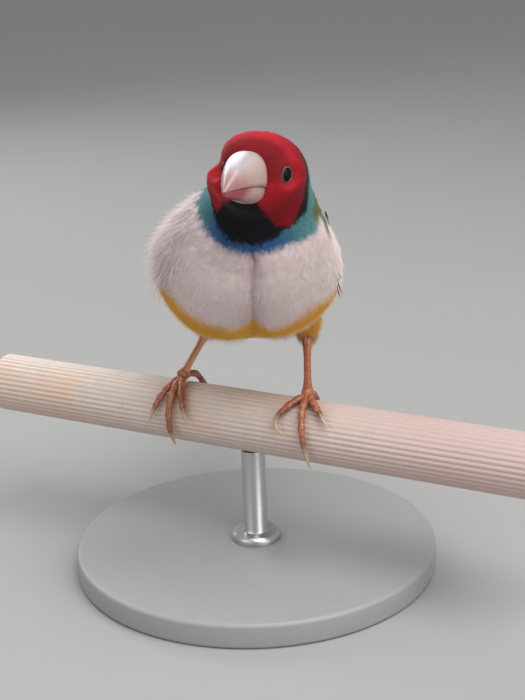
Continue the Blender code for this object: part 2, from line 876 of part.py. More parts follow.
def turned(name, profile, sides, material):
    """A solid of revolution about the Z axis through the origin."""
    rings = []
    for radius, height in profile:
        rings.append(
            [
                Vector((radius * math.cos(t), radius * math.sin(t), height))
                for t in (math.tau * k / sides for k in range(sides))
            ]
        )
    return loft(name, rings, material, 30.0)


def make_stand(paint, steel):
    turned(
        "stand_base",
        (
            (BASE_RADIUS - BASE_CHAMFER, 0.0),
            (BASE_RADIUS, BASE_CHAMFER),
            (BASE_RADIUS, BASE_HEIGHT - BASE_CHAMFER),
            (BASE_RADIUS - BASE_CHAMFER, BASE_HEIGHT),
        ),
        BASE_SIDES,
        paint,
    )
    foot = BASE_HEIGHT + GAP
    rod = turned(
        "stand_rod",
        (
            (ROD_FOOT_RADIUS, foot),
            (ROD_FOOT_RADIUS, foot + ROD_FOOT_HEIGHT * 0.6),
            (ROD_FOOT_RADIUS - 0.6 * MM, foot + ROD_FOOT_HEIGHT),
            (ROD_RADIUS, foot + ROD_FOOT_HEIGHT),
            (ROD_RADIUS, PERCH_HEIGHT - PERCH_RADIUS * 0.6),
        ),
        ROD_SIDES,
        None,
    )
    rings = []
    for end in (-1, 1):
        rings.append(
            [
                on_perch(end * 12 * MM, math.tau * k / 48, PERCH_RADIUS + GAP * 1.1)[0]
                for k in range(48)
            ]
        )
    combine(rod, [loft("seat", rings)], "DIFFERENCE")
    dress(rod, steel, 30.0)


def main():
    for thing in list(bpy.data.objects):
        bpy.data.objects.remove(thing)
    red = finish("red_mask", (0.42, 0.018, 0.03), 0.75)
    turquoise = finish("turquoise_collar", (0.05, 0.22, 0.3), 0.75)
    white = finish("white_breast", (0.62, 0.55, 0.54), 0.85)
    green = finish("green_wing", (0.1, 0.2, 0.06), 0.7)
    black = finish("black_tail", (0.02, 0.02, 0.024), 0.65)
    yellow = finish("yellow_thigh", (0.62, 0.33, 0.06), 0.85)
    bill = finish("bill_horn", (0.78, 0.68, 0.64), 0.4)
    eye = finish("eye_gloss", (0.012, 0.009, 0.008), 0.08)
    leg_skin = finish("leg_skin", (0.5, 0.2, 0.09), 0.5)
    claw = finish("claw_horn", (0.62, 0.45, 0.28), 0.45)
    plastic = finish("perch_plastic", (0.72, 0.68, 0.65), 0.4)
    paint = finish("stand_paint", (0.45, 0.44, 0.42), 0.5)
    steel = finish("stand_steel", (0.62, 0.62, 0.62), 0.3, 1.0)
    make_torso(white)
    make_neck(turquoise)
    make_head(red)
    make_eyes(eye)
    make_bill(bill)
    make_wing(1, "wing_left", green)
    make_wing(-1, "wing_right", green)
    make_tail(black)
    for leg in LEGS:
        make_thigh(leg, yellow)
        make_shank(leg, leg_skin)
        make_foot(leg, leg_skin)
        make_claws(leg, claw)
    make_perch(plastic)
    make_stand(paint, steel)


main()
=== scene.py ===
"""A red-headed gouldian finch, life size, gripping a short fluted perch on a plain stand.

The bird faces -Y with its tail towards +Y and +Z is up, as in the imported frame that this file
dresses. The plumage lies on a body surface that is read by place, counted in cross-sections from
over the tail to the bill, and by angle, from the back round to the belly.
"""

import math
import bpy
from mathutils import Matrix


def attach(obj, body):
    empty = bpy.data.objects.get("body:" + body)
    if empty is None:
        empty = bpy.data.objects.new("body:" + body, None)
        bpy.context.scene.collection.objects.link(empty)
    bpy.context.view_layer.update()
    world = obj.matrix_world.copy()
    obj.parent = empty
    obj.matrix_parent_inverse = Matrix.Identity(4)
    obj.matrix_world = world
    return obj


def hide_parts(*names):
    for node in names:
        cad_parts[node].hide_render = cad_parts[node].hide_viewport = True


bl_info = {
    "name": "Gouldian Finch on a Perch",
    "version": (1, 0, 0),
    "blender": (4, 5, 0),
    "location": "3D View > Sidebar > Finch",
    "description": "Dresses the packed finch in skin, feathers and scales, with its perch and stand",
    "category": "Object",
}

from typing import NamedTuple

import bmesh
import bpy
import numpy as np
from bpy.props import FloatProperty, FloatVectorProperty, IntProperty, PointerProperty
from mathutils import Matrix, Vector

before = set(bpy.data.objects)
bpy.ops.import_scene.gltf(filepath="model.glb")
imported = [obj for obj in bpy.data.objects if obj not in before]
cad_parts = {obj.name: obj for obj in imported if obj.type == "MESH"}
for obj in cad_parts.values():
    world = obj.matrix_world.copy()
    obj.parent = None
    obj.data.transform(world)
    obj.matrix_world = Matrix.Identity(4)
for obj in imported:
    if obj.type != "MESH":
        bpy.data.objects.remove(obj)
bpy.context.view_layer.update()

MM = 0.001
GAP = 0.3 * MM
BODY = "root"
BAKE_MAP = "OFBake"
TUFT_PATCH = 0.003  # how much of the bake map one tuft takes


def display(red, green, blue):
    """Scene colour for values from 0 to 255 as a screen shows them."""
    shown = [v / 255 for v in (red, green, blue)]
    return tuple(v / 12.92 if v <= 0.04045 else ((v + 0.055) / 1.055) ** 2.4 for v in shown)


def colour_property(name, description, red, green, blue):
    return FloatVectorProperty(
        name=name,
        description=description,
        subtype="COLOR",
        size=3,
        min=0.0,
        max=1.0,
        default=display(red, green, blue),
    )


def length_property(name, description, millimetres):
    return FloatProperty(
        name=name, description=description, unit="LENGTH", default=millimetres * MM, min=0.0
    )


def angle_property(name, description, degrees):
    return FloatProperty(
        name=name, description=description, subtype="ANGLE", default=math.radians(degrees)
    )


class FinchPlumage(bpy.types.PropertyGroup):
    """Colours and sizes of the feathers."""

    red: colour_property("Red", "Mask over the crown and cheeks", 190, 29, 42)
    black: colour_property("Black", "Bib, and the border of the mask", 22, 20, 25)
    blue: colour_property("Blue", "Collar under the throat", 58, 100, 146)
    turquoise: colour_property("Turquoise", "Collar on the sides and the nape", 88, 140, 144)
    green: colour_property("Green", "Back and wing coverts", 112, 140, 62)
    white: colour_property("White", "Breast", 242, 222, 219)
    yellow: colour_property("Yellow", "Belly and flanks", 236, 170, 58)
    rump: colour_property("Rump", "Rump and upper tail coverts", 96, 150, 160)
    vent: colour_property("Vent", "Under tail coverts", 226, 220, 210)
    brown: colour_property("Brown", "Inner webs of the flight feathers", 84, 74, 60)
    tail: colour_property("Tail", "Tail feathers", 30, 29, 33)
    coat_depth: length_property("Coat depth", "How far the skin lies under the feathers", 0.6)
    face_depth: length_property("Face depth", "The same on the face", 0.22)
    seed: IntProperty(name="Seed", description="Start of every random draw", default=7)


class FinchBareParts(bpy.types.PropertyGroup):
    """Colours and sizes of the bill, eyes, legs and claws."""

    bill: colour_property("Bill", "Pearly horn", 168, 158, 158)
    # Painted highlight: the horn on the bill's right side, made lighter and bluish as if lit
    bill_painted_highlight: colour_property("Bill, light side", "The horn where it is bluish white", 226, 232, 240)
    # Painted shade: the horn towards the bill's left side and lower down, made darker and warmer
    bill_painted_shade: colour_property("Bill side", "The horn where it is warmer", 176, 152, 142)
    bill_tip: colour_property("Bill tip", "Red at the tip and along the mouth", 144, 38, 54)
    eye: colour_property("Eye", "Iris", 16, 11, 10)
    eye_ring: colour_property("Eye ring", "Bare skin of the lids", 86, 76, 72)
    leg: colour_property("Leg", "Scaled skin", 176, 108, 72)
    # Pale worn scales and pads, and also the highlight painted on one side of the right shank
    leg_pale_wear_and_highlight: colour_property("Leg, pale", "Where the scales are worn and on the pads", 214, 170, 140)
    leg_crease: colour_property("Leg crease", "Skin between the scales", 128, 62, 42)
    claw: colour_property("Claw", "Horn at the tips of the claws", 176, 152, 122)
    claw_root: colour_property("Claw root", "Horn where a claw begins", 120, 74, 52)
    scute: length_property("Scute", "Length of one scale along a toe", 0.72)


class FinchPerch(bpy.types.PropertyGroup):
    """The perch and its stand."""

    radius: length_property("Radius", "Of the perch over its ridges", 6.0)
    length: length_property("Length", "Of the perch", 120.0)
    axis_height: length_property("Axis height", "Of the perch over the floor", 30.0)
    turn: angle_property("Turn", "The +X end comes this much nearer the viewer", 28.7)
    flutes: IntProperty(name="Flutes", description="Grooves round the perch", default=36)
    flute_depth: length_property("Flute depth", "Of each groove", 0.15)
    stain: colour_property("Stain", "Worn and stained patches of the perch", 214, 170, 138)
    # Painted shade: the perch darker and pinker under it and towards its +X end
    painted_shade: colour_property("Painted_shade", "Where the perch looks pinkish", 192, 166, 162)
    plastic: colour_property("Plastic", "Perch", 202, 187, 176)
    base_radius: length_property("Base radius", "Of the stand", 36.0)
    base_height: length_property("Base height", "Of the stand", 5.0)
    rod_radius: length_property("Rod radius", "Of the stand", 2.4)
    paint: colour_property("Paint", "Stand's base", 150, 150, 148)
    steel: colour_property("Steel", "Stand's rod", 196, 196, 196)


class FinchStage(bpy.types.PropertyGroup):
    """Camera, floor and light."""

    focal_length: FloatProperty(
        name="Focal length", description="In mm on a 36 mm long side", default=72.257
    )
    pitch: angle_property("Pitch", "How far the camera looks down", 18.1)
    roll: angle_property("Roll", "How far the camera leans", 1.9)
    floor: colour_property("Floor", "Floor", 160, 159, 157)
    key_power: FloatProperty(name="Key", description="Light from above, in watts", default=3.4)
    fill_power: FloatProperty(name="Fill", description="Light from the front, in watts", default=1.15)
    side_power: FloatProperty(name="Side", description="Light from the bird's right", default=0.62)
    sky: FloatProperty(name="Sky", description="Light from all around", default=0.48)


# Arithmetic


def unit(vectors):
    return vectors / np.maximum(np.linalg.norm(vectors, axis=-1, keepdims=True), 1e-12)


def smoothstep(low, high, value):
    t = np.clip((value - low) / (high - low), 0, 1)
    return t * t * (3 - 2 * t)


def between(value, first, start, end, last):
    """One from start to end, and nothing before first or after last."""
    return smoothstep(first, start, value) * (1 - smoothstep(end, last, value))


def keyed(value, *keys):
    """A value read from (where, what) keys, straight between them."""
    where, what = zip(*keys)
    return np.interp(value, where, what)


def bell(*terms):
    """One where every (value, middle, width) is at its middle, falling away round it."""
    return np.exp(-sum(((value - middle) / width) ** 2 for value, middle, width in terms))


def blend(under, over, share):
    """Colours between two, by a share for each point."""
    under = np.asarray(under)
    return under + (np.asarray(over) - under) * np.clip(share, 0, 1)[..., None]


def circle(sides):
    """Evenly spread angles, once round."""
    return math.tau * np.arange(sides) / sides


def around(turns, first, second):
    """Points round a circle whose two radii are given."""
    return np.outer(np.cos(turns), first) + np.outer(np.sin(turns), second)


def signed_degrees(angle):
    """Angles round the body in degrees, from -180 to 180, the left side being above zero."""
    return np.degrees(np.remainder(angle + math.pi, math.tau) - math.pi)


def walked_along(path):
    """How far along a path each of its points is."""
    return np.concatenate([[0], np.cumsum(np.linalg.norm(np.diff(path, axis=0), axis=1))])


# The body's surface: cross-sections in millimetres, as the solids have them


HEAD_PITCH = 12.5
HEAD_TURN = 18.0
HEAD_ROLL = 4.5
HEAD_CENTRE = np.array([2.9, -19.1, 80.8]) * MM
TORSO_PITCH = 24.0
TORSO_ASIDE = 0.8
PERCH_AXIS_HEIGHT = 30.0
CLEFT_WIDTH = 0.26
UNDER_ROUNDING = 0.35
TAIL_ROOT = 2.0


def axes(pitch, turn, roll):
    """Forward, left and up for each pitch, turn and roll in degrees."""
    p = np.radians(pitch)
    t = np.radians(turn)
    r = np.radians(roll)[..., None]
    forward = np.stack([-np.sin(t) * np.cos(p), -np.cos(t) * np.cos(p), np.sin(p)], -1)
    level = np.stack([np.cos(t), -np.sin(t), np.zeros_like(t)], -1)
    upright = np.stack([np.sin(t) * np.sin(p), np.cos(t) * np.sin(p), np.cos(p)], -1)
    return forward, level * np.cos(r) - upright * np.sin(r), upright * np.cos(r) + level * np.sin(r)


HEAD_FORWARD, HEAD_LEFT, HEAD_UP = axes(*(np.array(a) for a in (HEAD_PITCH, HEAD_TURN, HEAD_ROLL)))


def head_place(ahead, left, rise):
    """Points given in the head's own directions, in metres."""
    parts = (ahead, left, rise)
    return HEAD_CENTRE + sum(
        np.asarray(v, float)[..., None] * way
        for v, way in zip(parts, (HEAD_FORWARD, HEAD_LEFT, HEAD_UP))
    )


def head_parts(points):
    """How far ahead, left and up of the head's centre points are, in millimetres."""
    away = (points - HEAD_CENTRE) / MM
    return away @ HEAD_FORWARD, away @ HEAD_LEFT, away @ HEAD_UP


def torso_station(ahead, half_width, above, below, squareness=2.2, cleft=0.0, sag=0.0):
    """A cross-section of the torso, widest at the torso's straight axis or that much lower."""
    slope = math.radians(TORSO_PITCH)
    behind = -ahead * math.cos(slope) - sag * math.sin(slope)
    height = 31 + ahead * math.sin(slope) - sag * math.cos(slope)
    turned = (TORSO_PITCH, 0.0, 0.0)
    depths = (above + sag, below - sag)
    return (TORSO_ASIDE, behind, height, *turned, half_width, *depths, squareness, cleft)


def neck_station(bottom, top, aside, turned, half_width, squareness=2.1, cleft=0.0):
    rise = top[1] - bottom[1]
    run = top[0] - bottom[0]
    depth = math.hypot(rise, run) / 2
    middle = (aside, (bottom[0] + top[0]) / 2, (bottom[1] + top[1]) / 2)
    way = (math.degrees(math.atan2(run, rise)), HEAD_TURN * turned, HEAD_ROLL * turned)
    return (*middle, *way, half_width, depth, depth, squareness, cleft)


def head_station(bottom, top, half_width, middle):
    rise = top[1] - bottom[1]
    run = top[0] - bottom[0]
    depth = math.hypot(rise, run)
    at = head_place((bottom[0] + run * middle) * MM, 0.0, (bottom[1] + rise * middle) * MM) / MM
    pitch = HEAD_PITCH - math.degrees(math.atan2(run, rise))
    place = (at[0], at[1], at[2] - PERCH_AXIS_HEIGHT)
    sizes = (half_width, depth * (1 - middle), depth * middle, 2.05, 0.0)
    return (*place, pitch, HEAD_TURN, HEAD_ROLL, *sizes)


STATIONS = np.array(
    (
        torso_station(-66, 3.2, 2.9, 2.0),
        torso_station(-56, 4.0, 3.2, 2.4),
        torso_station(-46, 4.4, 3.4, 3.4),
        torso_station(-38, 7.4, 5.6, 6.2),
        torso_station(-28, 11.0, 8.6, 9.4, cleft=0.02, sag=0.3),
        torso_station(-16, 14.0, 11.8, 12.2, cleft=0.05, sag=0.8),
        torso_station(-5, 14.6, 13.7, 13.9, 2.25, cleft=0.09, sag=1.6),
        torso_station(4, 16.0, 14.4, 14.8, 2.25, cleft=0.11, sag=2.6),
        torso_station(10.5, 16.6, 14.0, 14.8, 2.2, cleft=0.11, sag=2.6),
        neck_station((-21.6, 29.6), (-4.6, 49.4), 1.4, 0.1, 14.2, 2.2, 0.08),
        neck_station((-22.9, 36.4), (-7.2, 51.6), 2.6, 0.4, 12.0, 2.2, 0.02),
        neck_station((-22.7, 41.0), (-9.7, 53.8), 3.0, 0.7, 9.6),
        neck_station((-22.9, 43.4), (-11.8, 56.4), 3.2, 0.9, 8.7),
        head_station((3.0, -6.4), (-2.6, 8.7), 8.6, 0.5),
        head_station((4.4, -5.4), (1.6, 9.1), 8.5, 0.5),
        head_station((5.6, -4.9), (4.7, 7.9), 7.4, 0.49),
        head_station((6.5, -4.5), (6.5, 6.7), 6.0, 0.48),
        head_station((7.0, -4.0), (7.0, 6.0), 4.8, 0.48),
    )
)
FACE = len(STATIONS) - 1.0
ASIDE, BEHIND, HEIGHT, PITCH, TURN, ROLL, HALF_WIDTH, ABOVE, BELOW, SQUARENESS, CLEFT = range(11)


def sections(place):
    """The cross-section at each place, smoothly between the ones given."""
    place = np.asarray(place, float)
    last = len(STATIONS) - 1
    k = np.clip(np.floor(place).astype(int), 0, last - 1)
    t = (place - k)[..., None]
    before = STATIONS[np.maximum(k - 1, 0)]
    start = STATIONS[k]
    end = STATIONS[k + 1]
    after = STATIONS[np.minimum(k + 2, last)]
    bend = 2 * before - 5 * start + 4 * end - after
    twist = 3 * start - before - 3 * end + after
    return start + 0.5 * t * (end - before + t * (bend + t * twist))


def surface(place, angle, lift=0.0):
    """Points on the body. The angle in radians runs from the back towards the left side."""
    place, angle, lift = np.broadcast_arrays(
        np.asarray(place, float), np.asarray(angle, float), np.asarray(lift, float)
    )
    s = np.moveaxis(sections(place), -1, 0)
    _, left, up = axes(s[PITCH], s[TURN], s[ROLL])
    sine = np.sin(angle)
    cosine = np.cos(angle)
    power = 2 / (s[SQUARENESS] - np.where(cosine < 0, UNDER_ROUNDING, 0.0))
    depth = np.where(cosine > 0, s[ABOVE], s[BELOW]) * MM + lift
    from_midline = np.abs(np.remainder(angle, math.tau) - math.pi) / CLEFT_WIDTH
    fold = 1 - s[CLEFT] * np.exp(-(from_midline**2))
    aside = (s[HALF_WIDTH] * MM + lift) * np.sign(sine) * np.abs(sine) ** power * fold
    rise = depth * np.sign(cosine) * np.abs(cosine) ** power * fold
    centre = np.stack([s[ASIDE], s[BEHIND], s[HEIGHT] + PERCH_AXIS_HEIGHT], -1) * MM
    return centre + left * aside[..., None] + up * rise[..., None]


def even_places(first, last, count):
    """Places along the body that are evenly far apart on its side."""
    fine = np.linspace(first, last, 2000)
    walked = walked_along(surface(fine, np.full_like(fine, math.pi / 2)))
    return np.interp(np.linspace(0, walked[-1], count), walked, fine)


# Meshes


def mesh_object(name, points, faces, material=None):
    """An object at the origin from points and faces given as arrays or lists."""
    mesh = bpy.data.meshes.new(name)
    mesh.from_pydata(np.asarray(points).tolist(), [], [tuple(f) for f in faces])
    if material:
        mesh.materials.append(material)
    thing = bpy.data.objects.new(name, mesh)
    bpy.context.scene.collection.objects.link(thing)
    mesh.shade_smooth()
    return thing


class Build:
    """Gathers points, faces and corner values of many small closed shapes."""

    def __init__(self):
        self.points = []
        self.faces = []
        self.maps = []
        self.cells = []
        self.colours = []
        self.count = 0

    def add(self, points, faces, maps, colours=None, cells=None):
        """Maps are the faces' corner places, in the order of the faces."""
        self.points.append(np.asarray(points, float))
        self.faces += [tuple(i + self.count for i in face) for face in faces]
        self.maps.append(np.asarray(maps, float))
        if cells is not None:
            self.cells.append(np.asarray(cells, float))
        if colours is not None:
            self.colours.append(np.asarray(colours, float))
        self.count += len(points)

    def finish(self, name, material=None, map_name="vane"):
        """One object of all that was added, its faces pointing outwards."""
        thing = mesh_object(name, np.concatenate(self.points), self.faces, material)
        add_map(thing.data, map_name, np.concatenate(self.maps))
        if self.cells:
            add_map(thing.data, BAKE_MAP, np.concatenate(self.cells))
        if self.colours:
            paint(thing.data, np.concatenate(self.colours))
        outward_faces(thing)
        return thing


def add_map(mesh, name, places):
    layer = mesh.uv_layers.new(name=name)
    layer.uv.foreach_set("vector", np.asarray(places, np.float32).ravel())


def paint(mesh, colours, name="plumage"):
    """Stores a colour for each point of the mesh."""
    layer = mesh.attributes.new(name, "FLOAT_COLOR", "POINT")
    rows = np.ones((len(mesh.vertices), 4), np.float32)
    rows[:, :3] = colours
    layer.data.foreach_set("color", rows.ravel())


def store(mesh, name, values, kind="FLOAT"):
    layer = mesh.attributes.new(name, kind, "POINT")
    key = "vector" if kind == "FLOAT_VECTOR" else "value"
    layer.data.foreach_set(key, np.asarray(values, np.float32).ravel())


def grid_faces(rows, columns, closed=False):
    """Quads of a grid of points, row after row, and each corner's row and column."""
    faces = []
    corners = []
    for r in range(rows - 1):
        for c in range(columns if closed else columns - 1):
            n = (c + 1) % columns
            a = r * columns
            faces.append((a + c, a + n, a + columns + n, a + columns + c))
            corners += [(r, c), (r, c + 1), (r + 1, c + 1), (r + 1, c)]
    return faces, corners


def tube_shape(rings):
    """Points and faces of a tube closed at both ends, and each corner's (around, along)."""
    rows = len(rings)
    columns = len(rings[0])
    faces, corners = grid_faces(rows, columns, closed=True)
    maps = [(c / columns, r / (rows - 1)) for r, c in corners]
    middle = np.stack([rings[0].mean(0), rings[-1].mean(0)])
    first = rows * columns
    end = first - columns
    for c in range(columns):
        n = (c + 1) % columns
        faces.append((first, n, c))
        maps += [(0.5, 0), ((c + 1) / columns, 0), (c / columns, 0)]
        faces.append((first + 1, end + c, end + n))
        maps += [(0.5, 1), (c / columns, 1), ((c + 1) / columns, 1)]
    return np.concatenate([*rings, middle]), faces, maps


def closed_piece(name, shape, material, colours=None, map_name="vane"):
    """An object of one closed shape, given as its points, faces and corner places."""
    build = Build()
    build.add(*shape, colours)
    return build.finish(name, material, map_name)


def rings_along(path, outward, reach, squash=1.0):
    """Rings of points square to a path. Outward is each ring's way up, and reach has a row of
    radii for each."""
    along = unit(np.gradient(path, axis=0))
    aside = unit(np.cross(along, outward))
    over = np.cross(aside, along)
    turns = circle(reach.shape[1])
    across = (np.cos(turns) * reach)[..., None] * aside[:, None]
    return path[:, None] + across + (np.sin(turns) * reach * squash)[..., None] * over[:, None]


def outward_faces(thing):
    """Turns the faces outwards and shades them smooth."""
    shape = bmesh.new()
    shape.from_mesh(thing.data)
    bmesh.ops.recalc_face_normals(shape, faces=shape.faces)
    shape.to_mesh(thing.data)
    shape.free()
    thing.data.shade_smooth()


def settle(thing, slot, *nodes):
    """Hangs a finished piece on the frame, in place of CAD nodes where it is given some."""
    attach(thing, BODY)
    if nodes:
        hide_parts(*nodes)
    return thing


# Materials


def new_group(name, inputs, outputs):
    """An empty shader group with the given sockets."""
    group = bpy.data.node_groups.new(name, "ShaderNodeTree")
    for socket, kind, default in inputs:
        made = group.interface.new_socket(name=socket, in_out="INPUT", socket_type=kind)
        if default is not None:
            made.default_value = default
    for socket, kind in outputs:
        group.interface.new_socket(name=socket, in_out="OUTPUT", socket_type=kind)
    return group


def plug(tree, socket, value):
    """Gives a socket another node's output, or a plain value."""
    if isinstance(value, bpy.types.NodeSocket):
        tree.links.new(value, socket)
    else:
        socket.default_value = value


def add(tree, kind, links=None, **settings):
    """Adds a node. Links maps its input sockets to values or to other nodes' outputs."""
    node = tree.nodes.new(kind)
    for name, value in settings.items():
        setattr(node, name, value)
    for socket, value in (links or {}).items():
        plug(tree, node.inputs[socket], value)
    return node


def mix(tree, factor, first, second):
    """Colour between two colours."""
    node = add(tree, "ShaderNodeMix", {0: factor}, data_type="RGBA", blend_type="MIX")
    for index, value in ((6, first), (7, second)):
        if not isinstance(value, bpy.types.NodeSocket):
            value = (*value, 1.0)
        plug(tree, node.inputs[index], value)
    return node.outputs[2]


def calc(tree, operation, first, second=0.5, third=0.5):
    return add(tree, "ShaderNodeMath", {0: first, 1: second, 2: third}, operation=operation).outputs[0]


def scaled(tree, vector, scale):
    """A colour or vector times a number."""
    return add(tree, "ShaderNodeVectorMath", {0: vector, "Scale": scale}, operation="SCALE").outputs[0]


def own_colour(tree):
    """The colour that is stored on the mesh."""
    return add(tree, "ShaderNodeAttribute", attribute_name="plumage").outputs["Color"]


def noise(tree, where, scale, detail):
    links = {"Vector": where, "Scale": scale, "Detail": detail}
    return add(tree, "ShaderNodeTexNoise", links).outputs["Fac"]


def parted(tree, vector):
    """The X, Y and Z of a vector."""
    return add(tree, "ShaderNodeSeparateXYZ", {0: vector}).outputs


def map_place(tree, name):
    """The X, Y and Z of a place on one of the mesh's maps."""
    return parted(tree, add(tree, "ShaderNodeUVMap", uv_map=name).outputs["UV"])


def ramp(tree, value, low, high, to_low=0.0, to_high=1.0):
    node = add(
        tree,
        "ShaderNodeMapRange",
        {"Value": value, "From Min": low, "From Max": high, "To Min": to_low, "To Max": to_high},
        interpolation_type="SMOOTHSTEP",
    )
    return node.outputs["Result"]


def bumped(tree, strength, distance, height):
    """The normal of a surface that a height makes uneven."""
    links = {"Strength": strength, "Distance": distance, "Height": height}
    return add(tree, "ShaderNodeBump", links).outputs["Normal"]


def plumage_group():
    """Colour of a feather: its own, a little different from its neighbours', darker at the root
    and broken by fine barbs."""
    name = "Feather tone"
    if name in bpy.data.node_groups:
        return bpy.data.node_groups[name]
    group = new_group(
        name,
        (
            ("Root shade", "NodeSocketFloat", 0.84),
            ("Tip shade", "NodeSocketFloat", 1.06),
            ("Variety", "NodeSocketFloat", 0.12),
            ("Barbs", "NodeSocketFloat", 0.1),
            ("Barb count", "NodeSocketFloat", 24.0),
        ),
        (("Color", "NodeSocketColor"), ("Barb height", "NodeSocketFloat")),
    )
    given = group.nodes.new("NodeGroupInput").outputs
    tuft = add(group, "ShaderNodeAttribute", attribute_name="shade").outputs["Fac"]
    split = map_place(group, "vane")
    along = ramp(group, split["Y"], 0.0, 0.85)
    lengthwise = add(
        group, "ShaderNodeMapRange", {"Value": along, "To Min": given[0], "To Max": given[1]}
    ).outputs["Result"]
    centred = calc(group, "SUBTRACT", tuft, 0.5)
    varied = calc(group, "MULTIPLY_ADD", centred, given["Variety"], 1.0)
    web = calc(group, "ABSOLUTE", calc(group, "SUBTRACT", split["X"], 0.5))
    slant = calc(group, "MULTIPLY_ADD", web, -0.35, split["Y"])
    counted = calc(group, "MULTIPLY", slant, given["Barb count"])
    wave = calc(group, "SINE", calc(group, "MULTIPLY", counted, math.tau))
    barbs = calc(group, "MULTIPLY_ADD", wave, given["Barbs"], 1.0)
    total = calc(group, "MULTIPLY", calc(group, "MULTIPLY", lengthwise, varied), barbs)
    leave = group.nodes.new("NodeGroupOutput").inputs
    group.links.new(scaled(group, own_colour(group), total), leave["Color"])
    group.links.new(wave, leave["Barb height"])
    return group


def grain_group():
    """Fine unevenness of a solid surface: a mask and a normal from two sizes of noise."""
    name = "Fine grain"
    if name in bpy.data.node_groups:
        return bpy.data.node_groups[name]
    group = new_group(
        name,
        (
            ("Size", "NodeSocketFloat", 1000.0),
            ("Depth", "NodeSocketFloat", 0.1),
            ("Stretch", "NodeSocketVector", (1.0, 1.0, 1.0)),
        ),
        (("Mask", "NodeSocketFloat"), ("Normal", "NodeSocketVector")),
    )
    given = group.nodes.new("NodeGroupInput").outputs
    place = add(group, "ShaderNodeTexCoord").outputs["Object"]
    stretched = add(
        group, "ShaderNodeVectorMath", {0: place, 1: given["Stretch"]}, operation="MULTIPLY"
    ).outputs[0]
    coarse = noise(group, stretched, given["Size"], 4.0)
    fine = noise(group, stretched, calc(group, "MULTIPLY", given["Size"], 4.3), 2.0)
    mask = calc(group, "MULTIPLY_ADD", fine, 0.4, calc(group, "MULTIPLY", coarse, 0.6))
    leave = group.nodes.new("NodeGroupOutput").inputs
    group.links.new(mask, leave["Mask"])
    group.links.new(bumped(group, given["Depth"], 0.1 * MM, mask), leave["Normal"])
    return group


def new_material(name, **plain):
    """A material with plain values on its shader's own sockets."""
    material = bpy.data.materials.new(name)
    material.use_nodes = True
    tree = material.node_tree
    shader = tree.nodes["Principled BSDF"]
    for socket, value in plain.items():
        shader.inputs[socket.replace("_", " ")].default_value = value
    return material, tree, shader


def feather_material(name, roughness, sheen, relief=0.0, **tone):
    """For everything that wears plumage. Relief is how strongly its barbs stand out."""
    plain = {"Sheen_Weight": sheen, "Sheen_Roughness": 0.45, "Specular_IOR_Level": 0.25}
    material, tree, shader = new_material(name, Roughness=roughness, **plain)
    tones = add(tree, "ShaderNodeGroup")
    tones.node_tree = plumage_group()
    for socket, value in tone.items():
        tones.inputs[socket.replace("_", " ")].default_value = value
    tree.links.new(tones.outputs["Color"], shader.inputs["Base Color"])
    if relief:
        normal = bumped(tree, relief, 0.05 * MM, tones.outputs["Barb height"])
        tree.links.new(normal, shader.inputs["Normal"])
    return material


def grained(tree, shader, size, depth, stretch=(1.0, 1.0, 1.0)):
    """Gives a shader the fine grain's normal, and returns its mask."""
    node = add(tree, "ShaderNodeGroup")
    node.node_tree = grain_group()
    node.inputs["Size"].default_value = size
    node.inputs["Depth"].default_value = depth
    node.inputs["Stretch"].default_value = stretch
    tree.links.new(node.outputs["Normal"], shader.inputs["Normal"])
    return node.outputs["Mask"]


def grained_material(name, grain, colour_of, rough=None, **plain):
    """A material whose colour is made from its grain's mask by colour_of(tree, mask), and where
    rough is given, its roughness is the mask times that plus that."""
    material, tree, shader = new_material(name, **plain)
    mask = grained(tree, shader, *grain)
    tree.links.new(colour_of(tree, mask), shader.inputs["Base Color"])
    if rough:
        tree.links.new(calc(tree, "MULTIPLY_ADD", mask, *rough), shader.inputs["Roughness"])
    return material


def shades(tree, mask, colour, dark, light):
    """A colour that is some darker and some lighter shade of itself with a mask."""
    return mix(tree, mask, *([min(1.0, v * share) for v in colour] for share in (dark, light)))


def toned(tree, mask, gain, least):
    """The mesh's own colour, darker and lighter with a mask."""
    return scaled(tree, own_colour(tree), calc(tree, "MULTIPLY_ADD", mask, gain, least))


# Where the plumage changes colour


# Places of the borders, by the angle in degrees from the back, the bird's left side being above zero
YELLOW_EDGE = (
    (-180, 8.5), (-174, 8.32), (-165, 8.22), (-155, 8.3), (-142, 8.28), (-112, 8.28), (-95, 7.95),
    (-80, 7.5), (80, 7.3), (100, 7.85), (115, 8.12), (122, 8.22), (132, 8.32), (145, 8.3),
    (165, 8.2), (174, 8.32), (180, 8.5),
)
COLLAR_EDGE = (
    (-180, 10.55), (-160, 10.5), (-145, 10.42), (-112, 10.42), (-87, 10.25), (-75, 10.05),
    (-40, 9.95), (40, 9.95), (80, 10.2), (100, 10.3), (112, 10.25), (125, 10.36), (135, 10.5),
    (147, 10.54), (160, 10.54), (180, 10.55),
)
BLACK_EDGE = (
    (-180, 10.94), (-170, 10.94), (-155, 10.83), (-142, 10.88), (-132, 11.0), (-122, 11.17),
    (-112, 11.4), (-95, 12.1), (-60, 12.5), (0, 12.6), (60, 12.5), (85, 12.2), (92, 11.9),
    (102, 11.3), (110, 11.2), (120, 11.23), (135, 11.23), (145, 11.12), (157, 11.0), (172, 10.94),
    (180, 10.94),
)
MASK_EDGE = (
    (-130, 11.3), (-122, 11.6), (-116, 12.2), (-108, 12.9), (-100, 13.5), (-88, 13.7), (-60, 13.7),
    (-30, 13.5), (0, 13.4), (50, 13.5), (62, 13.7), (75, 13.65), (88, 13.4), (100, 12.95),
    (106, 12.3), (115, 11.88), (120, 11.72), (130, 11.3),
)
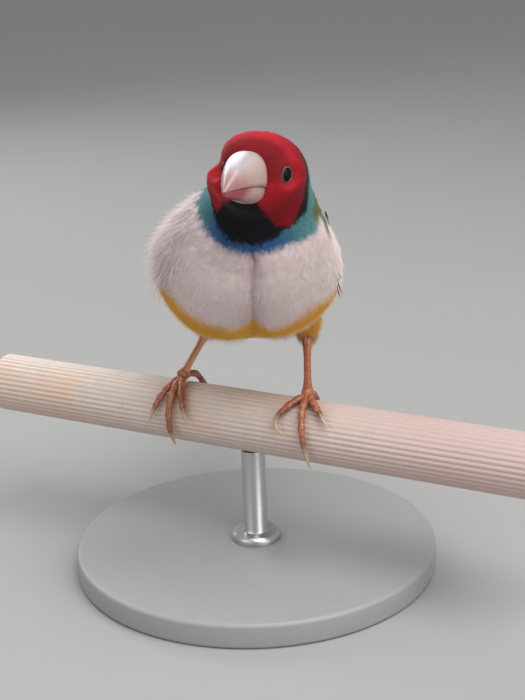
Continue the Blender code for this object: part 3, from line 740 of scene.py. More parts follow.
# Angles of the bib's sides, by the place
BIB_LEFT = (
    (11.2, 131), (11.5, 137), (12.0, 145), (12.6, 152), (13.7, 157), (15.4, 153), (16.3, 148),
)
BIB_RIGHT = ((11.2, 108), (11.35, 112), (11.75, 123), (12.3, 131), (14.6, 140), (16.3, 146))
PLUMAGE_HUES = ("red", "black", "blue", "turquoise", "green", "white", "yellow", "rump", "vent")


def fringe(points, size, amount, seed=0):
    """A smooth wander that roughens the border between two colours."""
    rng = np.random.default_rng(seed)
    total = np.zeros(len(points))
    for _ in range(6):
        way = rng.normal(size=3)
        way *= math.tau / (size * (0.6 + 0.8 * rng.random())) / np.linalg.norm(way)
        total += np.sin(points @ way + rng.random() * math.tau)
    return total / 6 * amount


def back_edge(place, turned):
    """Angle in degrees where the green back ends and the flank or breast begins."""
    edge = keyed(place, (2, 66), (6, 64), (7.2, 58), (8.5, 42), (9.6, 38), (10.2, 52))
    left = keyed(place, (8.2, 0), (8.9, 22), (9.4, 34), (10.2, 34), (10.6, 0))
    return edge + left * (turned > 0)


def bib_share(place, turned, rough):
    """One inside the black bib under the bill, and nothing on the red mask."""
    edge = np.where(turned < 0, keyed(place, *BIB_RIGHT), keyed(place, *BIB_LEFT))
    return smoothstep(edge - 1.6, edge + 1.6, np.abs(turned) + rough * 1.2)


def plumage_colours(place, angle, points, plumage):
    """The colour of the plumage at each point of the body."""
    turned = signed_degrees(angle)
    a = np.abs(turned)
    rough = fringe(points, 2.2 * MM, 1.0, 3) + fringe(points, 0.9 * MM, 0.6, 4)
    red, black, blue, turquoise, green, white, yellow, rump, vent = (
        np.array(getattr(plumage, n)) for n in PLUMAGE_HUES
    )

    colours = np.broadcast_to(white, (len(place), 3)).copy()
    rosy = fringe(points, 11 * MM, 1.0, 5) * 0.06 + fringe(points, 4 * MM, 1.0, 8) * 0.03
    colours *= 1 + rosy[:, None] * np.array([0.8, 1.1, 1.0])
    # Painted shade: the breast darker and bluish along its middle crease, most towards the collar
    off = 180 - a + 1.5 * fringe(points, 6 * MM, 1.0, 6)
    deep = keyed(place, (7.9, 0.0), (8.3, 0.36), (8.8, 0.32), (9.3, 0.32), (9.8, 0.85), (10.3, 1.2))
    wide = keyed(place, (8.0, 9.0), (8.8, 6.0), (9.5, 4.2), (10.3, 5.6))
    crease = deep * bell((off, 0, wide)) + 0.22 * bell((off, 0, 14))
    crease = crease * smoothstep(7.7, 8.3, place)
    colours *= 1 - crease[:, None] * np.array([0.36, 0.44, 0.38])
    yellow_edge = keyed(turned, *YELLOW_EDGE) + rough * 0.04
    colours = blend(colours, yellow, 1 - smoothstep(yellow_edge - 0.1, yellow_edge + 0.2, place))
    colours = blend(colours, vent, 1 - smoothstep(3.0, 4.2, place + rough * 0.2))
    back = 1 - smoothstep(-5, 5, a + rough * 4 - back_edge(place, turned))
    colours = blend(colours, green, back)
    colours = blend(colours, rump, back * (1 - smoothstep(3.0, 4.0, place + rough * 0.2)))

    collar_edge = keyed(turned, *COLLAR_EDGE) + rough * 0.03
    bluer = np.where(turned < 0, smoothstep(98, 138, a), smoothstep(118, 152, a))
    band = blend(blue, turquoise, 1 - bluer)
    olive = (1 - smoothstep(94, 108, turned + rough * 3)) * smoothstep(-20, 40, turned)
    dusky = green * np.array([0.72, 0.5, 0.62])
    above = smoothstep(8.7, 9.2, place) * (1 - smoothstep(84, 94, a))
    colours = blend(colours, dusky, olive * above)
    band = blend(band, dusky, olive * (1 - smoothstep(10.6, 10.95, place)))
    colours = blend(colours, band, smoothstep(collar_edge - 0.07, collar_edge + 0.07, place))

    border = keyed(turned, *BLACK_EDGE) + rough * 0.02
    colours = blend(colours, black, smoothstep(border - 0.03, border + 0.04, place))

    mask_edge = keyed(turned, *MASK_EDGE) + rough * 0.04
    inside = smoothstep(mask_edge - 0.05, mask_edge + 0.08, place)
    inside = inside * (1 - bib_share(place, turned, rough))
    # Painted shade on the red mask: darker on the head's left side, and on the forehead over the bill
    cheeks = 0.4 * smoothstep(0, 62, turned) + 0.26 * bell((turned, 44, 26))
    cheeks = cheeks * (1 - 0.7 * smoothstep(13.6, 14.8, place))
    brow_shade = 0.56 * smoothstep(14.5, 15.4, place) * (1 - smoothstep(70, 112, a))
    shaded_reds = red * ((1 - cheeks) * (1 - brow_shade))[:, None]
    return blend(colours, shaded_reds, inside)


# Skin


SKIN_ROWS = 190
SKIN_COLUMNS = 200
# Parts of the bake map: how wide and high each is, and where it begins
BODY_MAP, BODY_MAP_START = (0.6, 0.94), 0.03
THIGH_MAP, THIGH_MAP_START, THIGH_MAP_STEP = (0.28, 0.36), (0.68, 0.05), 0.4
# Length of the tufts in millimetres, and their tilt in degrees, by the place
TUFT_LENGTHS = (
    (2, 3.0), (6, 3.2), (8, 3.0), (9.5, 2.8), (10.3, 2.1), (10.8, 1.5), (11.5, 1.3), (13, 1.2),
    (15, 0.95), (16.2, 0.7), (FACE, 0.5),
)
TUFT_TILTS = ((2, 5), (6, 5), (8, 5), (9.5, 6), (10.6, 7), (12, 8), (15, 10), (FACE, 14))
THIGH_TUFT, THIGH_TILT = 2.1, 26
# Where the skin lies lower or higher than even feathers would have it: place and its width, angle
# in degrees and its width before and after, depth in millimetres
SKIN_DENTS = (
    (14.2, 1.35, -78, 17, 25, 1.6),  # right temple
    (9.95, 0.75, 70, 26, 26, 1.1),  # left side of the nape
    (8.55, 0.5, 68, 16, 16, 1.1),
    (8.85, 0.6, -56, 13, 13, 1.2),  # right side of the nape
    (12.8, 1.1, -108, 17, 17, -1.3),  # right cheek
    (7.5, 0.8, -140, 20, 20, -0.6),  # right flank
)


def skin_depth(place, plumage):
    """How far under the feathers' tips the skin lies."""
    deep = plumage.coat_depth
    face = plumage.face_depth
    keys = ((TAIL_ROOT, 0.5), (3.0, 0.8), (5.0, 1.0), (9.5, 1.0), (10.5, 0.6), (12.0, 0.1), (FACE, 0.0))
    return face + (deep - face) * keyed(place, *keys)


# Where the foot is along the perch, and the heel and hip, in millimetres
THIGHS = {
    "left": (12.4, (11.4, 6.2, 44.8), (9.4, 5.0, 54.0)),
    "right": (-15.4, (-8.6, 14.4, 44.2), (-6.8, 9.0, 52.0)),
}
THIGH_SIDES = 40


def perch_ways(settings):
    """The perch's own axis and its front, square to it and level."""
    t = settings.turn
    return np.array([math.cos(t), -math.sin(t), 0.0]), np.array([-math.sin(t), -math.cos(t), 0.0])


def on_perch(settings, along, around, reach):
    """Points near the perch, and the ways out from its axis. Around starts at its top."""
    axis, front = perch_ways(settings)
    along = np.asarray(along, float)[..., None]
    around = np.asarray(around, float)[..., None]
    outward = np.array([0, 0, 1.0]) * np.cos(around) + front * np.sin(around)
    centre = np.array([0, 0, settings.axis_height])
    return centre + axis * along + outward * np.asarray(reach, float)[..., None], outward


ANKLE_RADIUS = 1.25 * MM


def leg_points(settings, side):
    """Ankle, heel and hip of one leg."""
    along, heel, hip = THIGHS[side]
    reach = settings.radius + GAP + ANKLE_RADIUS + 0.1 * MM
    ankle, _ = on_perch(settings, along * MM, 0.0, reach)
    return ankle, np.array(heel) * MM, np.array(hip) * MM


def thigh_grid(settings, side, depth):
    """Rings of a thigh's skin, from the heel up into the belly."""
    ankle, heel, hip = leg_points(settings, side)
    way = unit(heel - ankle)
    knee = heel + way * 3 * MM
    share = np.linspace(0, 1, 34)[:, None]
    path = (heel + (knee - heel) * share) * (1 - share) + (knee + (hip - knee) * share) * share
    path = np.concatenate([[heel - way * 0.2 * MM], path])
    radii = np.concatenate([[0.75], 1.15 + 3.4 * share[:, 0] ** 0.8]) * MM - depth
    reach = np.repeat(np.maximum(radii, 0.7 * MM)[:, None], THIGH_SIDES, axis=1)
    return rings_along(path, np.array([0.0, -1.0, 0.0]), reach)


def feather_shift(place, angle, length):
    """How many places a tuft's visible part lies behind its root."""
    step = 0.05
    here = surface(place, angle)
    aft = surface(place - step, angle)
    return 0.3 * length / (np.linalg.norm(here - aft, axis=-1) / step)


class SkinPart(NamedTuple):
    """A closed part of the skin: its points, faces and corner places, then a value for each
    point. The lie is the way in which feathers lie, and thigh is how dense the thighs' coat is."""

    shape: tuple
    colours: np.ndarray
    tuft_colours: np.ndarray
    place: np.ndarray
    angle: np.ndarray
    lie: np.ndarray
    thigh: np.ndarray


def body_skin(plumage):
    """The skin of head, neck and torso."""
    rows, columns = SKIN_ROWS, SKIN_COLUMNS
    places = even_places(TAIL_ROOT, FACE, rows)
    place, angle = (v.ravel() for v in np.meshgrid(places, circle(columns), indexing="ij"))
    turned = signed_degrees(angle)
    depth = skin_depth(place, plumage) * (1 - 0.9 * shoulders(place, turned))
    for middle, breadth, direction, before, after, deep in SKIN_DENTS:
        wide = np.where(turned > direction, after, before)
        depth = depth + bell((place, middle, breadth), (turned, direction, wide)) * deep * MM
    valley = bell((angle, math.pi, 0.1)) * between(place, 7.0, 8.0, 10.2, 10.8) * 0.7 * MM
    points = surface(place, angle, -depth - valley)
    outer = surface(place, angle)
    lie = unit(surface(place - 0.02, angle) - outer)
    colours = plumage_colours(place, angle, outer, plumage)
    shifted = place - feather_shift(place, angle, tuft_length(place, angle) * MM)
    shifted = np.maximum(shifted, TAIL_ROOT)
    tuft_colours = plumage_colours(shifted, angle, surface(shifted, angle), plumage)
    fluff = 0.8 * hem_share(place, np.abs(turned)) * (1 - smoothstep(7.2, 7.5, place))
    tuft_colours = blend(tuft_colours, plumage.white, fluff)

    points, faces, maps = tube_shape(points.reshape(rows, columns, 3))
    maps = np.array(maps) * BODY_MAP + BODY_MAP_START
    caps = 4 * (rows - 1) * columns
    maps[caps::6] = (0.33, 0.01)
    maps[caps + 3 :: 6] = (0.33, 0.99)
    return SkinPart(
        (points, faces, maps),
        np.concatenate([colours, colours[[0, -1]]]),
        np.concatenate([tuft_colours, tuft_colours[[0, -1]]]),
        np.append(place, [TAIL_ROOT, FACE]),
        np.append(angle, [0, 0]),
        np.concatenate([lie, [[0, 1, 0], [0, 1, 0]]]),
        np.zeros(len(points)),
    )


def thigh_skin(plumage, perch, side, number):
    """The skin of one thigh, with a part of the bake map to itself."""
    rings = thigh_grid(perch, side, 0.5 * MM)
    points, faces, maps = tube_shape(rings)
    maps = np.array(maps) * THIGH_MAP + THIGH_MAP_START + (0, THIGH_MAP_STEP * number)
    share = np.append(np.repeat(np.linspace(0, 1, len(rings)), THIGH_SIDES), [0, 1])
    down = -unit(np.gradient(rings.mean(1), axis=0))
    colours = np.array(plumage.yellow) * (1.12 - 0.12 * smoothstep(0.0, 0.5, share))[:, None]
    patchy = fringe(points, 1.6 * MM, 1.0, 9)
    fluff = 0.9 * (1 - smoothstep(0.1, 0.42, share + 0.16 * patchy))
    return SkinPart(
        (points, faces, maps),
        colours,
        blend(colours, plumage.white, fluff),
        np.full(len(points), 6.0),
        np.full(len(points), math.pi * 0.75),
        np.concatenate([np.repeat(down, THIGH_SIDES, axis=0), down[[0, -1]]]),
        1 - 0.999 * smoothstep(0.7, 0.9, share),
    )


def make_skin_mesh(context):
    """Builds the skin with the values that the coats read from it."""
    plumage = context.scene.finch_plumage
    perch = context.scene.finch_perch
    parts = [body_skin(plumage)]
    parts += [thigh_skin(plumage, perch, side, k) for k, side in enumerate(THIGHS)]
    build = Build()
    for part in parts:
        build.add(*part.shape, part.colours)
    skin = build.finish("skin", map_name=BAKE_MAP)
    tuft_colours, *values = (np.concatenate(v) for v in list(zip(*parts))[2:])
    paint(skin.data, tuft_colours, "tuft_plumage")
    store_coat_values(skin.data, np.concatenate(build.points), *values)
    return skin


def tuft_length(place, angle):
    """Length of the tufts at each place, in millimetres."""
    turned = signed_degrees(angle)
    return keyed(place, *TUFT_LENGTHS) * (1 + 0.35 * shoulders(place, turned))


def shoulders(place, turned):
    """One where the looser feathers of the shoulders are, and nothing elsewhere."""
    right = between(place, 7.2, 8.6, 9.9, 10.4)
    left = between(place, 7.2, 8.2, 8.8, 9.6) * 0.3
    return bell((np.abs(turned), 80, 24)) * np.where(turned < 0, right, left)


def store_coat_values(mesh, points, place, angle, lie, thigh):
    """Stores how the feathers lie, and how long and dense each coat is at each point."""
    on_leg = np.arange(len(place)) >= SKIN_ROWS * SKIN_COLUMNS + 2
    turned = signed_degrees(angle)
    a = np.abs(turned)
    eye_distance = np.minimum(
        *(np.linalg.norm(points - eye_centre(side), axis=1) / MM for side in (-1, 1))
    )
    near_eye = 1 - smoothstep(2.3, 4.0, eye_distance)
    loose = shoulders(place, turned)
    brow = eye_centre(-1) + HEAD_FORWARD * 2.2 * MM
    brow = 1 - smoothstep(1.0, 2.4, np.linalg.norm(points - brow, axis=1) / MM)
    length = tuft_length(place, angle) * (1 - 0.45 * near_eye) * (1 + 0.9 * brow)
    tilt = keyed(place, *TUFT_TILTS) * (1 + 0.9 * loose) * (1 - 0.3 * near_eye) + 34 * brow
    store(mesh, "lie", lie, "FLOAT_VECTOR")
    store(mesh, "length", np.where(on_leg, THIGH_TUFT, length) * MM)
    store(mesh, "tilt", np.radians(np.where(on_leg, THIGH_TILT, tilt)))

    body = 1.0 - on_leg
    bib = bib_share(place, turned, np.zeros(len(place)))
    head = smoothstep(11.0, 11.1, place) * body * smoothstep(1.85, 2.0, eye_distance)
    throat = (bib > 0.5).astype(float) * head
    hood = head * (1 - throat)
    face = smoothstep(13.4, 13.5, place)
    under = smoothstep(-4, 4, a - back_edge(place, turned))
    front = between(place, 7.3, 7.4, 10.15, 10.4) * under * body
    coats = {
        "on_face": hood * face,
        "on_hood": hood * (1 - face),
        "on_throat": throat,
        "on_neck": between(place, 9.9, 10.1, 11.0, 11.1) * body,
        "on_breast_left": front * (turned > 0),
        "on_breast_right": front * (turned <= 0),
        "on_belly": between(place, 2.0, 2.2, 7.3, 7.4) * body * smoothstep(74, 82, a),
        "on_back": between(place, 2.0, 2.2, 10.1, 10.5) * body * (1 - under),
        "on_thighs": thigh,
        "on_shoulders": np.clip(loose * 1.2 - 0.3, 0, 1) * body,
        "on_hem": hem_share(place, a) * body,
    }
    for name, values in coats.items():
        store(mesh, name, values)


def hem_share(place, a):
    """Where the loose fluff of the flanks hangs down beside the legs."""
    return bell((a, 136, 22), (place, 6.75, 0.45))


EYE_AHEAD = 4.8 * MM
EYE_ASIDE = {1: 5.45 * MM, -1: -4.1 * MM}
EYE_RISE = 2.25 * MM
EYE_RADIUS = 1.5 * MM
EYE_SUNK = 0.02 * MM  # how far its ball lies behind its centre
LID_REACH = 0.95 * MM  # from the eye's centre to the middle of its lids
LID_MIDDLE = 1.27 * MM  # from the eye's axis
EYE_RINGS = 30
EYE_SIDES = 40
LID_RINGS = 72
LID_SIDES = 14
PUPIL = 0.004  # how light it is


def eye_outward(side):
    return unit(HEAD_LEFT * side + HEAD_FORWARD * 0.45)


def eye_centre(side):
    return head_place(EYE_AHEAD, EYE_ASIDE[side], EYE_RISE)


def dimple_for_eyes(skin):
    """Sinks the skin round each eye, so that the eye sits in the head."""
    mesh = skin.data
    points = np.empty(len(mesh.vertices) * 3, np.float32)
    mesh.vertices.foreach_get("co", points)
    points = points.reshape(-1, 3).astype(float)
    for side in (-1, 1):
        outward = eye_outward(side)
        away = points - eye_centre(side)
        height = away @ outward
        across = np.linalg.norm(away - height[:, None] * outward, axis=1)
        near = (across < 3.0 * MM) & (height > -2.5 * MM)
        sunk = 1 - smoothstep(0.95 * MM, 1.2 * MM, across)
        rim = LID_REACH - 0.05 * MM
        level = rim + (height - rim) * smoothstep(1.45 * MM, 2.95 * MM, across)
        target = level * (1 - sunk) + 0.1 * MM * sunk
        points[near] += ((target - height)[:, None] * outward)[near]
    mesh.vertices.foreach_set("co", points.astype(np.float32).ravel())
    mesh.update()


# Tufts


def add_barb(build, root, way, length, width, height):
    """A thin closed spike on a three-cornered base."""
    way = unit(np.array(way, float))
    aside = unit(np.cross(way, (0.0, 0.0, 1.0)))
    root = np.array(root, float)
    low = root - np.array((0.0, 0.0, height * 0.3))
    points = [
        low - aside * width / 2,
        low + aside * width / 2,
        root + np.array((0.0, 0.0, height)),
        root + way * length,
    ]
    faces = [(0, 1, 2), (0, 3, 1), (1, 3, 2), (2, 3, 0)]
    u = (0.0, 1.0, 0.5, 0.5)
    maps = [(u[i], 1.0 if i == 3 else 0.0) for face in faces for i in face]
    build.add(points, faces, maps)


def add_curved_barb(build, root, way, length, width, height, curl):
    """A thin closed spike that bends over along its length."""
    way = unit(np.array(way, float))
    aside = unit(np.cross(way, (0.0, 0.0, 1.0)))
    root = np.array(root, float)
    points = []
    for share in (0.0, 0.5):
        middle = root + way * length * share
        middle[2] += curl * length * (share - share**2) * 2
        half = width / 2 * (1 - 0.25 * share)
        points += [middle - aside * half, middle + aside * half]
        points.append(middle + np.array((0.0, 0.0, height * (1 - 0.4 * share))))
    points.append(root + way * length)
    faces = [(0, 1, 2)]
    for j in range(3):
        n = (j + 1) % 3
        faces += [(j, 3 + j, 3 + n, n), (3 + j, 6, 3 + n)]
    u = (0.0, 1.0, 0.5) * 2 + (0.5,)
    v = (0.0,) * 3 + (0.5,) * 3 + (1.0,)
    maps = [(u[i], v[i]) for face in faces for i in face]
    build.add(points, faces, maps)


class TuftKind(NamedTuple):
    """A kind of tuft one unit long: how many barbs it has, how far they fan in degrees, how broad
    and high one is, how wide they stand at the root, how many of them bend, how far they stray up
    and down, and how deep their roots are sunk."""

    barbs: int
    fan: float
    width: float
    height: float
    spread: float
    bent: int
    lift: float
    sunk: float


TUFT_KINDS = {
    "velvet": TuftKind(13, 18, 0.07, 0.03, 0.42, 0, 0.05, 0.025),
    "down": TuftKind(16, 9, 0.03, 0.01, 0.4, 0, 0.02, 0.012),
    "contour": TuftKind(11, 11, 0.085, 0.025, 0.3, 2, 0.05, 0.02),
    "wisp": TuftKind(9, 22, 0.014, 0.01, 0.1, 0, 0.1, 0.02),
}
TUFT_VARIANTS = 6


def tuft_collection(name, kind, seed):
    """A few like tufts, each about one unit long, in a collection that the scene doesn't show."""
    group = bpy.data.collections.new(name)
    rng = np.random.default_rng(seed)
    for variant in range(TUFT_VARIANTS):
        build = Build()
        for k in range(kind.barbs):
            share = (k + 0.5) / kind.barbs * 2 - 1
            turn = math.radians(kind.fan) * share + 0.05 * rng.normal()
            root = (share * kind.spread / 2, 0.12 * rng.random(), 0.02 * rng.random() - kind.sunk)
            length = (1.0 - 0.18 * share * share) * rng.uniform(0.72, 1.06)
            way = (math.sin(turn), math.cos(turn), kind.lift * rng.normal())
            width = kind.width * rng.uniform(0.8, 1.2)
            if k % kind.barbs < kind.bent:
                curl = rng.uniform(0.1, 0.35)
                add_curved_barb(build, root, way, length, width, kind.height, curl)
            else:
                add_barb(build, root, way, length, width, kind.height)
        tuft = build.finish(f"{name}_{variant}")
        bpy.context.scene.collection.objects.unlink(tuft)
        group.objects.link(tuft)
    return group


def coat_tree():
    """Geometry nodes that plant tufts on the skin along the lie of the coat."""
    name = "Finch coat"
    if name in bpy.data.node_groups:
        return bpy.data.node_groups[name]
    tree = bpy.data.node_groups.new(name, "GeometryNodeTree")
    tree.is_modifier = True
    wanted = {"Skin": "Geometry", "Tufts": "Collection", "Where": "String", "Material": "Material"}
    wanted |= dict.fromkeys(("Spacing", "Length", "Breadth", "Tilt", "Stray", "Relief"), "Float")
    wanted["Seed"] = "Int"
    for socket, kind in wanted.items():
        tree.interface.new_socket(name=socket, in_out="INPUT", socket_type="NodeSocket" + kind)
    tree.interface.new_socket(name="Coat", in_out="OUTPUT", socket_type="NodeSocketGeometry")
    given = tree.nodes.new("NodeGroupInput").outputs

    def made(kind, links=None, **settings):
        return add(tree, kind, links, **settings).outputs[0]

    def attribute(key, kind="FLOAT"):
        return made("GeometryNodeInputNamedAttribute", {"Name": key}, data_type=kind)

    def stored(geometry, name, value, kind="FLOAT_VECTOR", domain="POINT"):
        links = {"Geometry": geometry, "Name": name, "Value": value}
        return made("GeometryNodeStoreNamedAttribute", links, data_type=kind, domain=domain)

    def seed(offset):
        return calc(tree, "ADD", given["Seed"], float(offset))

    def spread(low, high, offset):
        links = {2: low, 3: high, "Seed": seed(offset)}
        return add(tree, "FunctionNodeRandomValue", links, data_type="FLOAT").outputs[1]

    def times(first, second):
        return calc(tree, "MULTIPLY", first, second)

    def total(first, second):
        return made("ShaderNodeVectorMath", {0: first, 1: second}, operation="ADD")

    def spin(rotation, axis, angle):
        turn = made("FunctionNodeAxisAngleToRotation", {"Axis": axis, "Angle": angle})
        links = {"Rotation": rotation, "Rotate By": turn}
        return made("FunctionNodeRotateRotation", links, rotation_space="LOCAL")

    roots = add(
        tree,
        "GeometryNodeDistributePointsOnFaces",
        {
            "Mesh": given["Skin"],
            "Distance Min": given["Spacing"],
            "Density Max": 4.0e7,
            "Density Factor": attribute(given["Where"]),
            "Seed": given["Seed"],
        },
        distribute_method="POISSON",
    ).outputs
    upright = made(
        "FunctionNodeAxesToRotation",
        {"Primary Axis": roots["Normal"], "Secondary Axis": attribute("lie", "FLOAT_VECTOR")},
        primary_axis="Z",
        secondary_axis="Y",
    )
    turned = spin(
        upright, (0.0, 0.0, 1.0), spread(times(given["Stray"], -1.0), given["Stray"], 11)
    )
    lean = times(times(attribute("tilt"), given["Tilt"]), spread(0.5, 1.5, 12))
    tilted = spin(turned, (1.0, 0.0, 0.0), lean)
    long = times(times(attribute("length"), given["Length"]), spread(0.75, 1.15, 13))
    broad = times(long, times(given["Breadth"], spread(0.85, 1.2, 14)))
    scale = made("ShaderNodeCombineXYZ", {"X": broad, "Y": long, "Z": long})
    last = stored(roots["Points"], "shade", spread(0.0, 1.0, 15), "FLOAT")
    last = stored(last, "root", attribute(BAKE_MAP, "FLOAT_VECTOR"))
    last = stored(last, "facing", roots["Normal"])
    tufts = made(
        "GeometryNodeCollectionInfo",
        {"Collection": given["Tufts"], "Separate Children": True, "Reset Children": True},
    )
    picks = {4: 0, 5: TUFT_VARIANTS - 1, "Seed": seed(16)}
    planted = {
        "Points": last,
        "Instance": tufts,
        "Pick Instance": True,
        "Instance Index": add(tree, "FunctionNodeRandomValue", picks, data_type="INT").outputs[2],
        "Rotation": tilted,
        "Scale": scale,
    }
    last = made("GeometryNodeInstanceOnPoints", planted)
    last = made("GeometryNodeRealizeInstances", {"Geometry": last})
    patch = scaled(tree, attribute("vane", "FLOAT_VECTOR"), TUFT_PATCH)
    patch = total(attribute("root", "FLOAT_VECTOR"), patch)
    last = stored(last, BAKE_MAP, patch, "FLOAT2", "CORNER")
    relief = scaled(tree, made("GeometryNodeInputNormal"), given["Relief"])
    soft = total(attribute("facing", "FLOAT_VECTOR"), relief)
    soft = made("ShaderNodeVectorMath", {0: soft}, operation="NORMALIZE")
    softly = add(tree, "GeometryNodeSetMeshNormal", mode="FREE", domain="POINT")
    tree.links.new(last, softly.inputs["Mesh"])
    tree.links.new(soft, softly.inputs["Custom Normal"])
    last = softly.outputs[0]
    for key in ("root", "lie", "length", "tilt", "facing"):
        last = made("GeometryNodeRemoveAttribute", {"Geometry": last, "Name": key})
    last = made("GeometryNodeSetMaterial", {"Geometry": last, "Material": given["Material"]})
    tree.links.new(last, tree.nodes.new("NodeGroupOutput").inputs[0])
    return tree


def grow_coat(skin, name, values):
    """Plants one coat on the skin, by values for the sockets of its tree, as a plain mesh."""
    base = bpy.data.objects.new(name, skin.data.copy())
    bpy.context.scene.collection.objects.link(base)
    attributes = base.data.attributes
    attributes.remove(attributes["plumage"])
    attributes["tuft_plumage"].name = "plumage"
    modifier = base.modifiers.new("coat", "NODES")
    tree = coat_tree()
    modifier.node_group = tree
    for item in tree.interface.items_tree:
        if item.in_out == "INPUT" and item.name in values:
            modifier[item.identifier] = values[item.name]
    graph = bpy.context.evaluated_depsgraph_get()
    mesh = bpy.data.meshes.new_from_object(base.evaluated_get(graph), depsgraph=graph)
    mesh.name = name
    old = base.data
    base.modifiers.clear()
    base.data = mesh
    bpy.data.meshes.remove(old)
    for key in [a.name for a in mesh.attributes if a.name.startswith("on_")]:
        mesh.attributes.remove(mesh.attributes[key])
    if not len(mesh.polygons):
        raise RuntimeError(f"the coat {name} came out empty")
    return base


def whiten(mesh, white):
    """Turns the colour of a coat most of the way to white, tuft by tuft."""
    layer = mesh.attributes["plumage"].data
    colours = np.empty(len(layer) * 4, np.float32)
    layer.foreach_get("color", colours)
    colours = colours.reshape(-1, 4)
    shade = np.empty(len(mesh.attributes["shade"].data), np.float32)
    mesh.attributes["shade"].data.foreach_get("value", shade)
    share = smoothstep(0.1, 0.6, shade)[:, None]
    colours[:, :3] += (np.array(white) - colours[:, :3]) * share
    layer.foreach_set("color", colours.ravel())


# Operators


class FINCH_OT_skin(bpy.types.Operator):
    """Make the one skin under all the plumage"""

    bl_idname = "finch.skin"
    bl_label = "Skin"

    def execute(self, context):
        skin = make_skin_mesh(context)
        dimple_for_eyes(skin)
        material = feather_material(
            "down", 0.9, 0.1, Root_shade=0.85, Tip_shade=0.85, Variety=0.0, Barbs=0.0
        )
        skin.data.materials.append(material)
        settle(skin, "body_feathers", "head", "neck", "torso", "thigh_left", "thigh_right")
        return {"FINISHED"}


class Coat(NamedTuple):
    """Where a coat grows, what it is of, and how it lies. Its spacing is in millimetres, its
    length, breadth and tilt are shares of the usual ones, and its stray is in radians."""

    name: str
    where: str
    slot: str
    kind: str
    spacing: float
    length: float
    breadth: float
    tilt: float
    stray: float
    relief: float


COATS = (
    Coat("face", "on_face", "head_feathers", "velvet", 0.25, 1.0, 0.9, 1.3, 0.25, 0.12),
    Coat("hood", "on_hood", "head_feathers", "velvet", 0.3, 1.0, 0.8, 1.0, 0.2, 0.12),
    Coat("throat", "on_throat", "head_feathers", "velvet", 0.32, 1.0, 0.8, 1.0, 0.2, 0.12),
    Coat("collar", "on_neck", "collar_feathers", "velvet", 0.36, 1.0, 0.5, 1.0, 0.2, 0.12),
    Coat("breast_left", "on_breast_left", "body_feathers", "down", 0.4, 1.0, 1.0, 1.0, 0.12, 0.06),
    Coat("breast_right", "on_breast_right", "body_feathers", "down", 0.4, 1.0, 1.0, 1.0, 0.12, 0.06),
    Coat("belly", "on_belly", "body_feathers", "down", 0.7, 1.15, 1.3, 1.0, 0.16, 0.1),
    Coat("back", "on_back", "body_feathers", "contour", 0.66, 1.0, 1.0, 0.8, 0.16, 0.3),
    Coat("thighs", "on_thighs", "thigh_feathers", "down", 0.4, 1.2, 1.0, 1.0, 0.3, 0.6),
    Coat("shoulder_wisps", "on_shoulders", "body_feathers", "wisp", 0.4, 1.5, 1.4, 2.3, 0.5, 0.1),
    Coat("hem_wisps", "on_hem", "body_feathers", "wisp", 0.42, 0.85, 1.3, 6.0, 0.6, 1.0),
)


class FINCH_OT_coats(bpy.types.Operator):
    """Plant the body feathers on the skin, region by region"""

    bl_idname = "finch.coats"
    bl_label = "Body feathers"

    def execute(self, context):
        skin = bpy.data.objects["skin"]
        seed = context.scene.finch_plumage.seed
        tufts = {
            name: tuft_collection(name, kind, seed + k)
            for k, (name, kind) in enumerate(TUFT_KINDS.items())
        }
        soft = feather_material(
            "soft feathers", 0.85, 0.08, Barbs=0.0, Variety=0.09, Root_shade=0.84, Tip_shade=1.0
        )
        pale = feather_material(
            "down feathers", 0.9, 0.12, Barbs=0.0, Variety=0.07, Root_shade=0.93, Tip_shade=1.02
        )
        sleek = feather_material("sleek feathers", 0.6, 0.1, Barbs=0.0)
        for k, coat in enumerate(COATS):
            values = {key.capitalize(): value for key, value in coat._asdict().items()}
            values["Tufts"] = tufts[coat.kind]
            values["Spacing"] *= MM
            values["Seed"] = seed + 20 * k
            values["Material"] = {"contour": sleek, "velvet": soft}.get(coat.kind, pale)
            grown = grow_coat(skin, "coat_" + coat.name, values)
            if coat.name == "hem_wisps":
                whiten(grown.data, context.scene.finch_plumage.white)
            settle(grown, coat.slot)
        return {"FINISHED"}


# Vaned feathers


LONG_ROWS = 26
VANE_THICKNESS = 0.14 * MM
CELL_EDGE = 0.06  # left free round each feather's cell of the bake map
VANE_COLUMNS = np.array([-1.0, -0.72, -0.4, -0.1, 0.0, 0.1, 0.4, 0.72, 1.0])


def vane_profile(share, shape):
    """Half width along a feather: narrow at the quill, then even, then round, pointed or drawn
    out to a pin."""
    quill = 0.35 + 0.65 * smoothstep(0.0, 0.3, share)
    if shape == "pin":
        pin = 1 - 0.86 * smoothstep(0.42, 0.72, share)
        return np.maximum(quill * pin * (1 - smoothstep(0.96, 1.0, share)), 0.05)
    start = 0.72 if shape == "pointed" else 0.84
    end = np.clip((share - start) / (1 - start), 0, 1)
    tip = (1 - end**1.7) ** 0.8 if shape == "pointed" else np.sqrt(1 - end**2)
    return np.maximum(quill * tip, 0.02)


def vane_rows():
    """Shares along a feather, closer together near its tip."""
    return np.sin(np.linspace(0, 1, LONG_ROWS) * math.pi / 2) ** 1.15


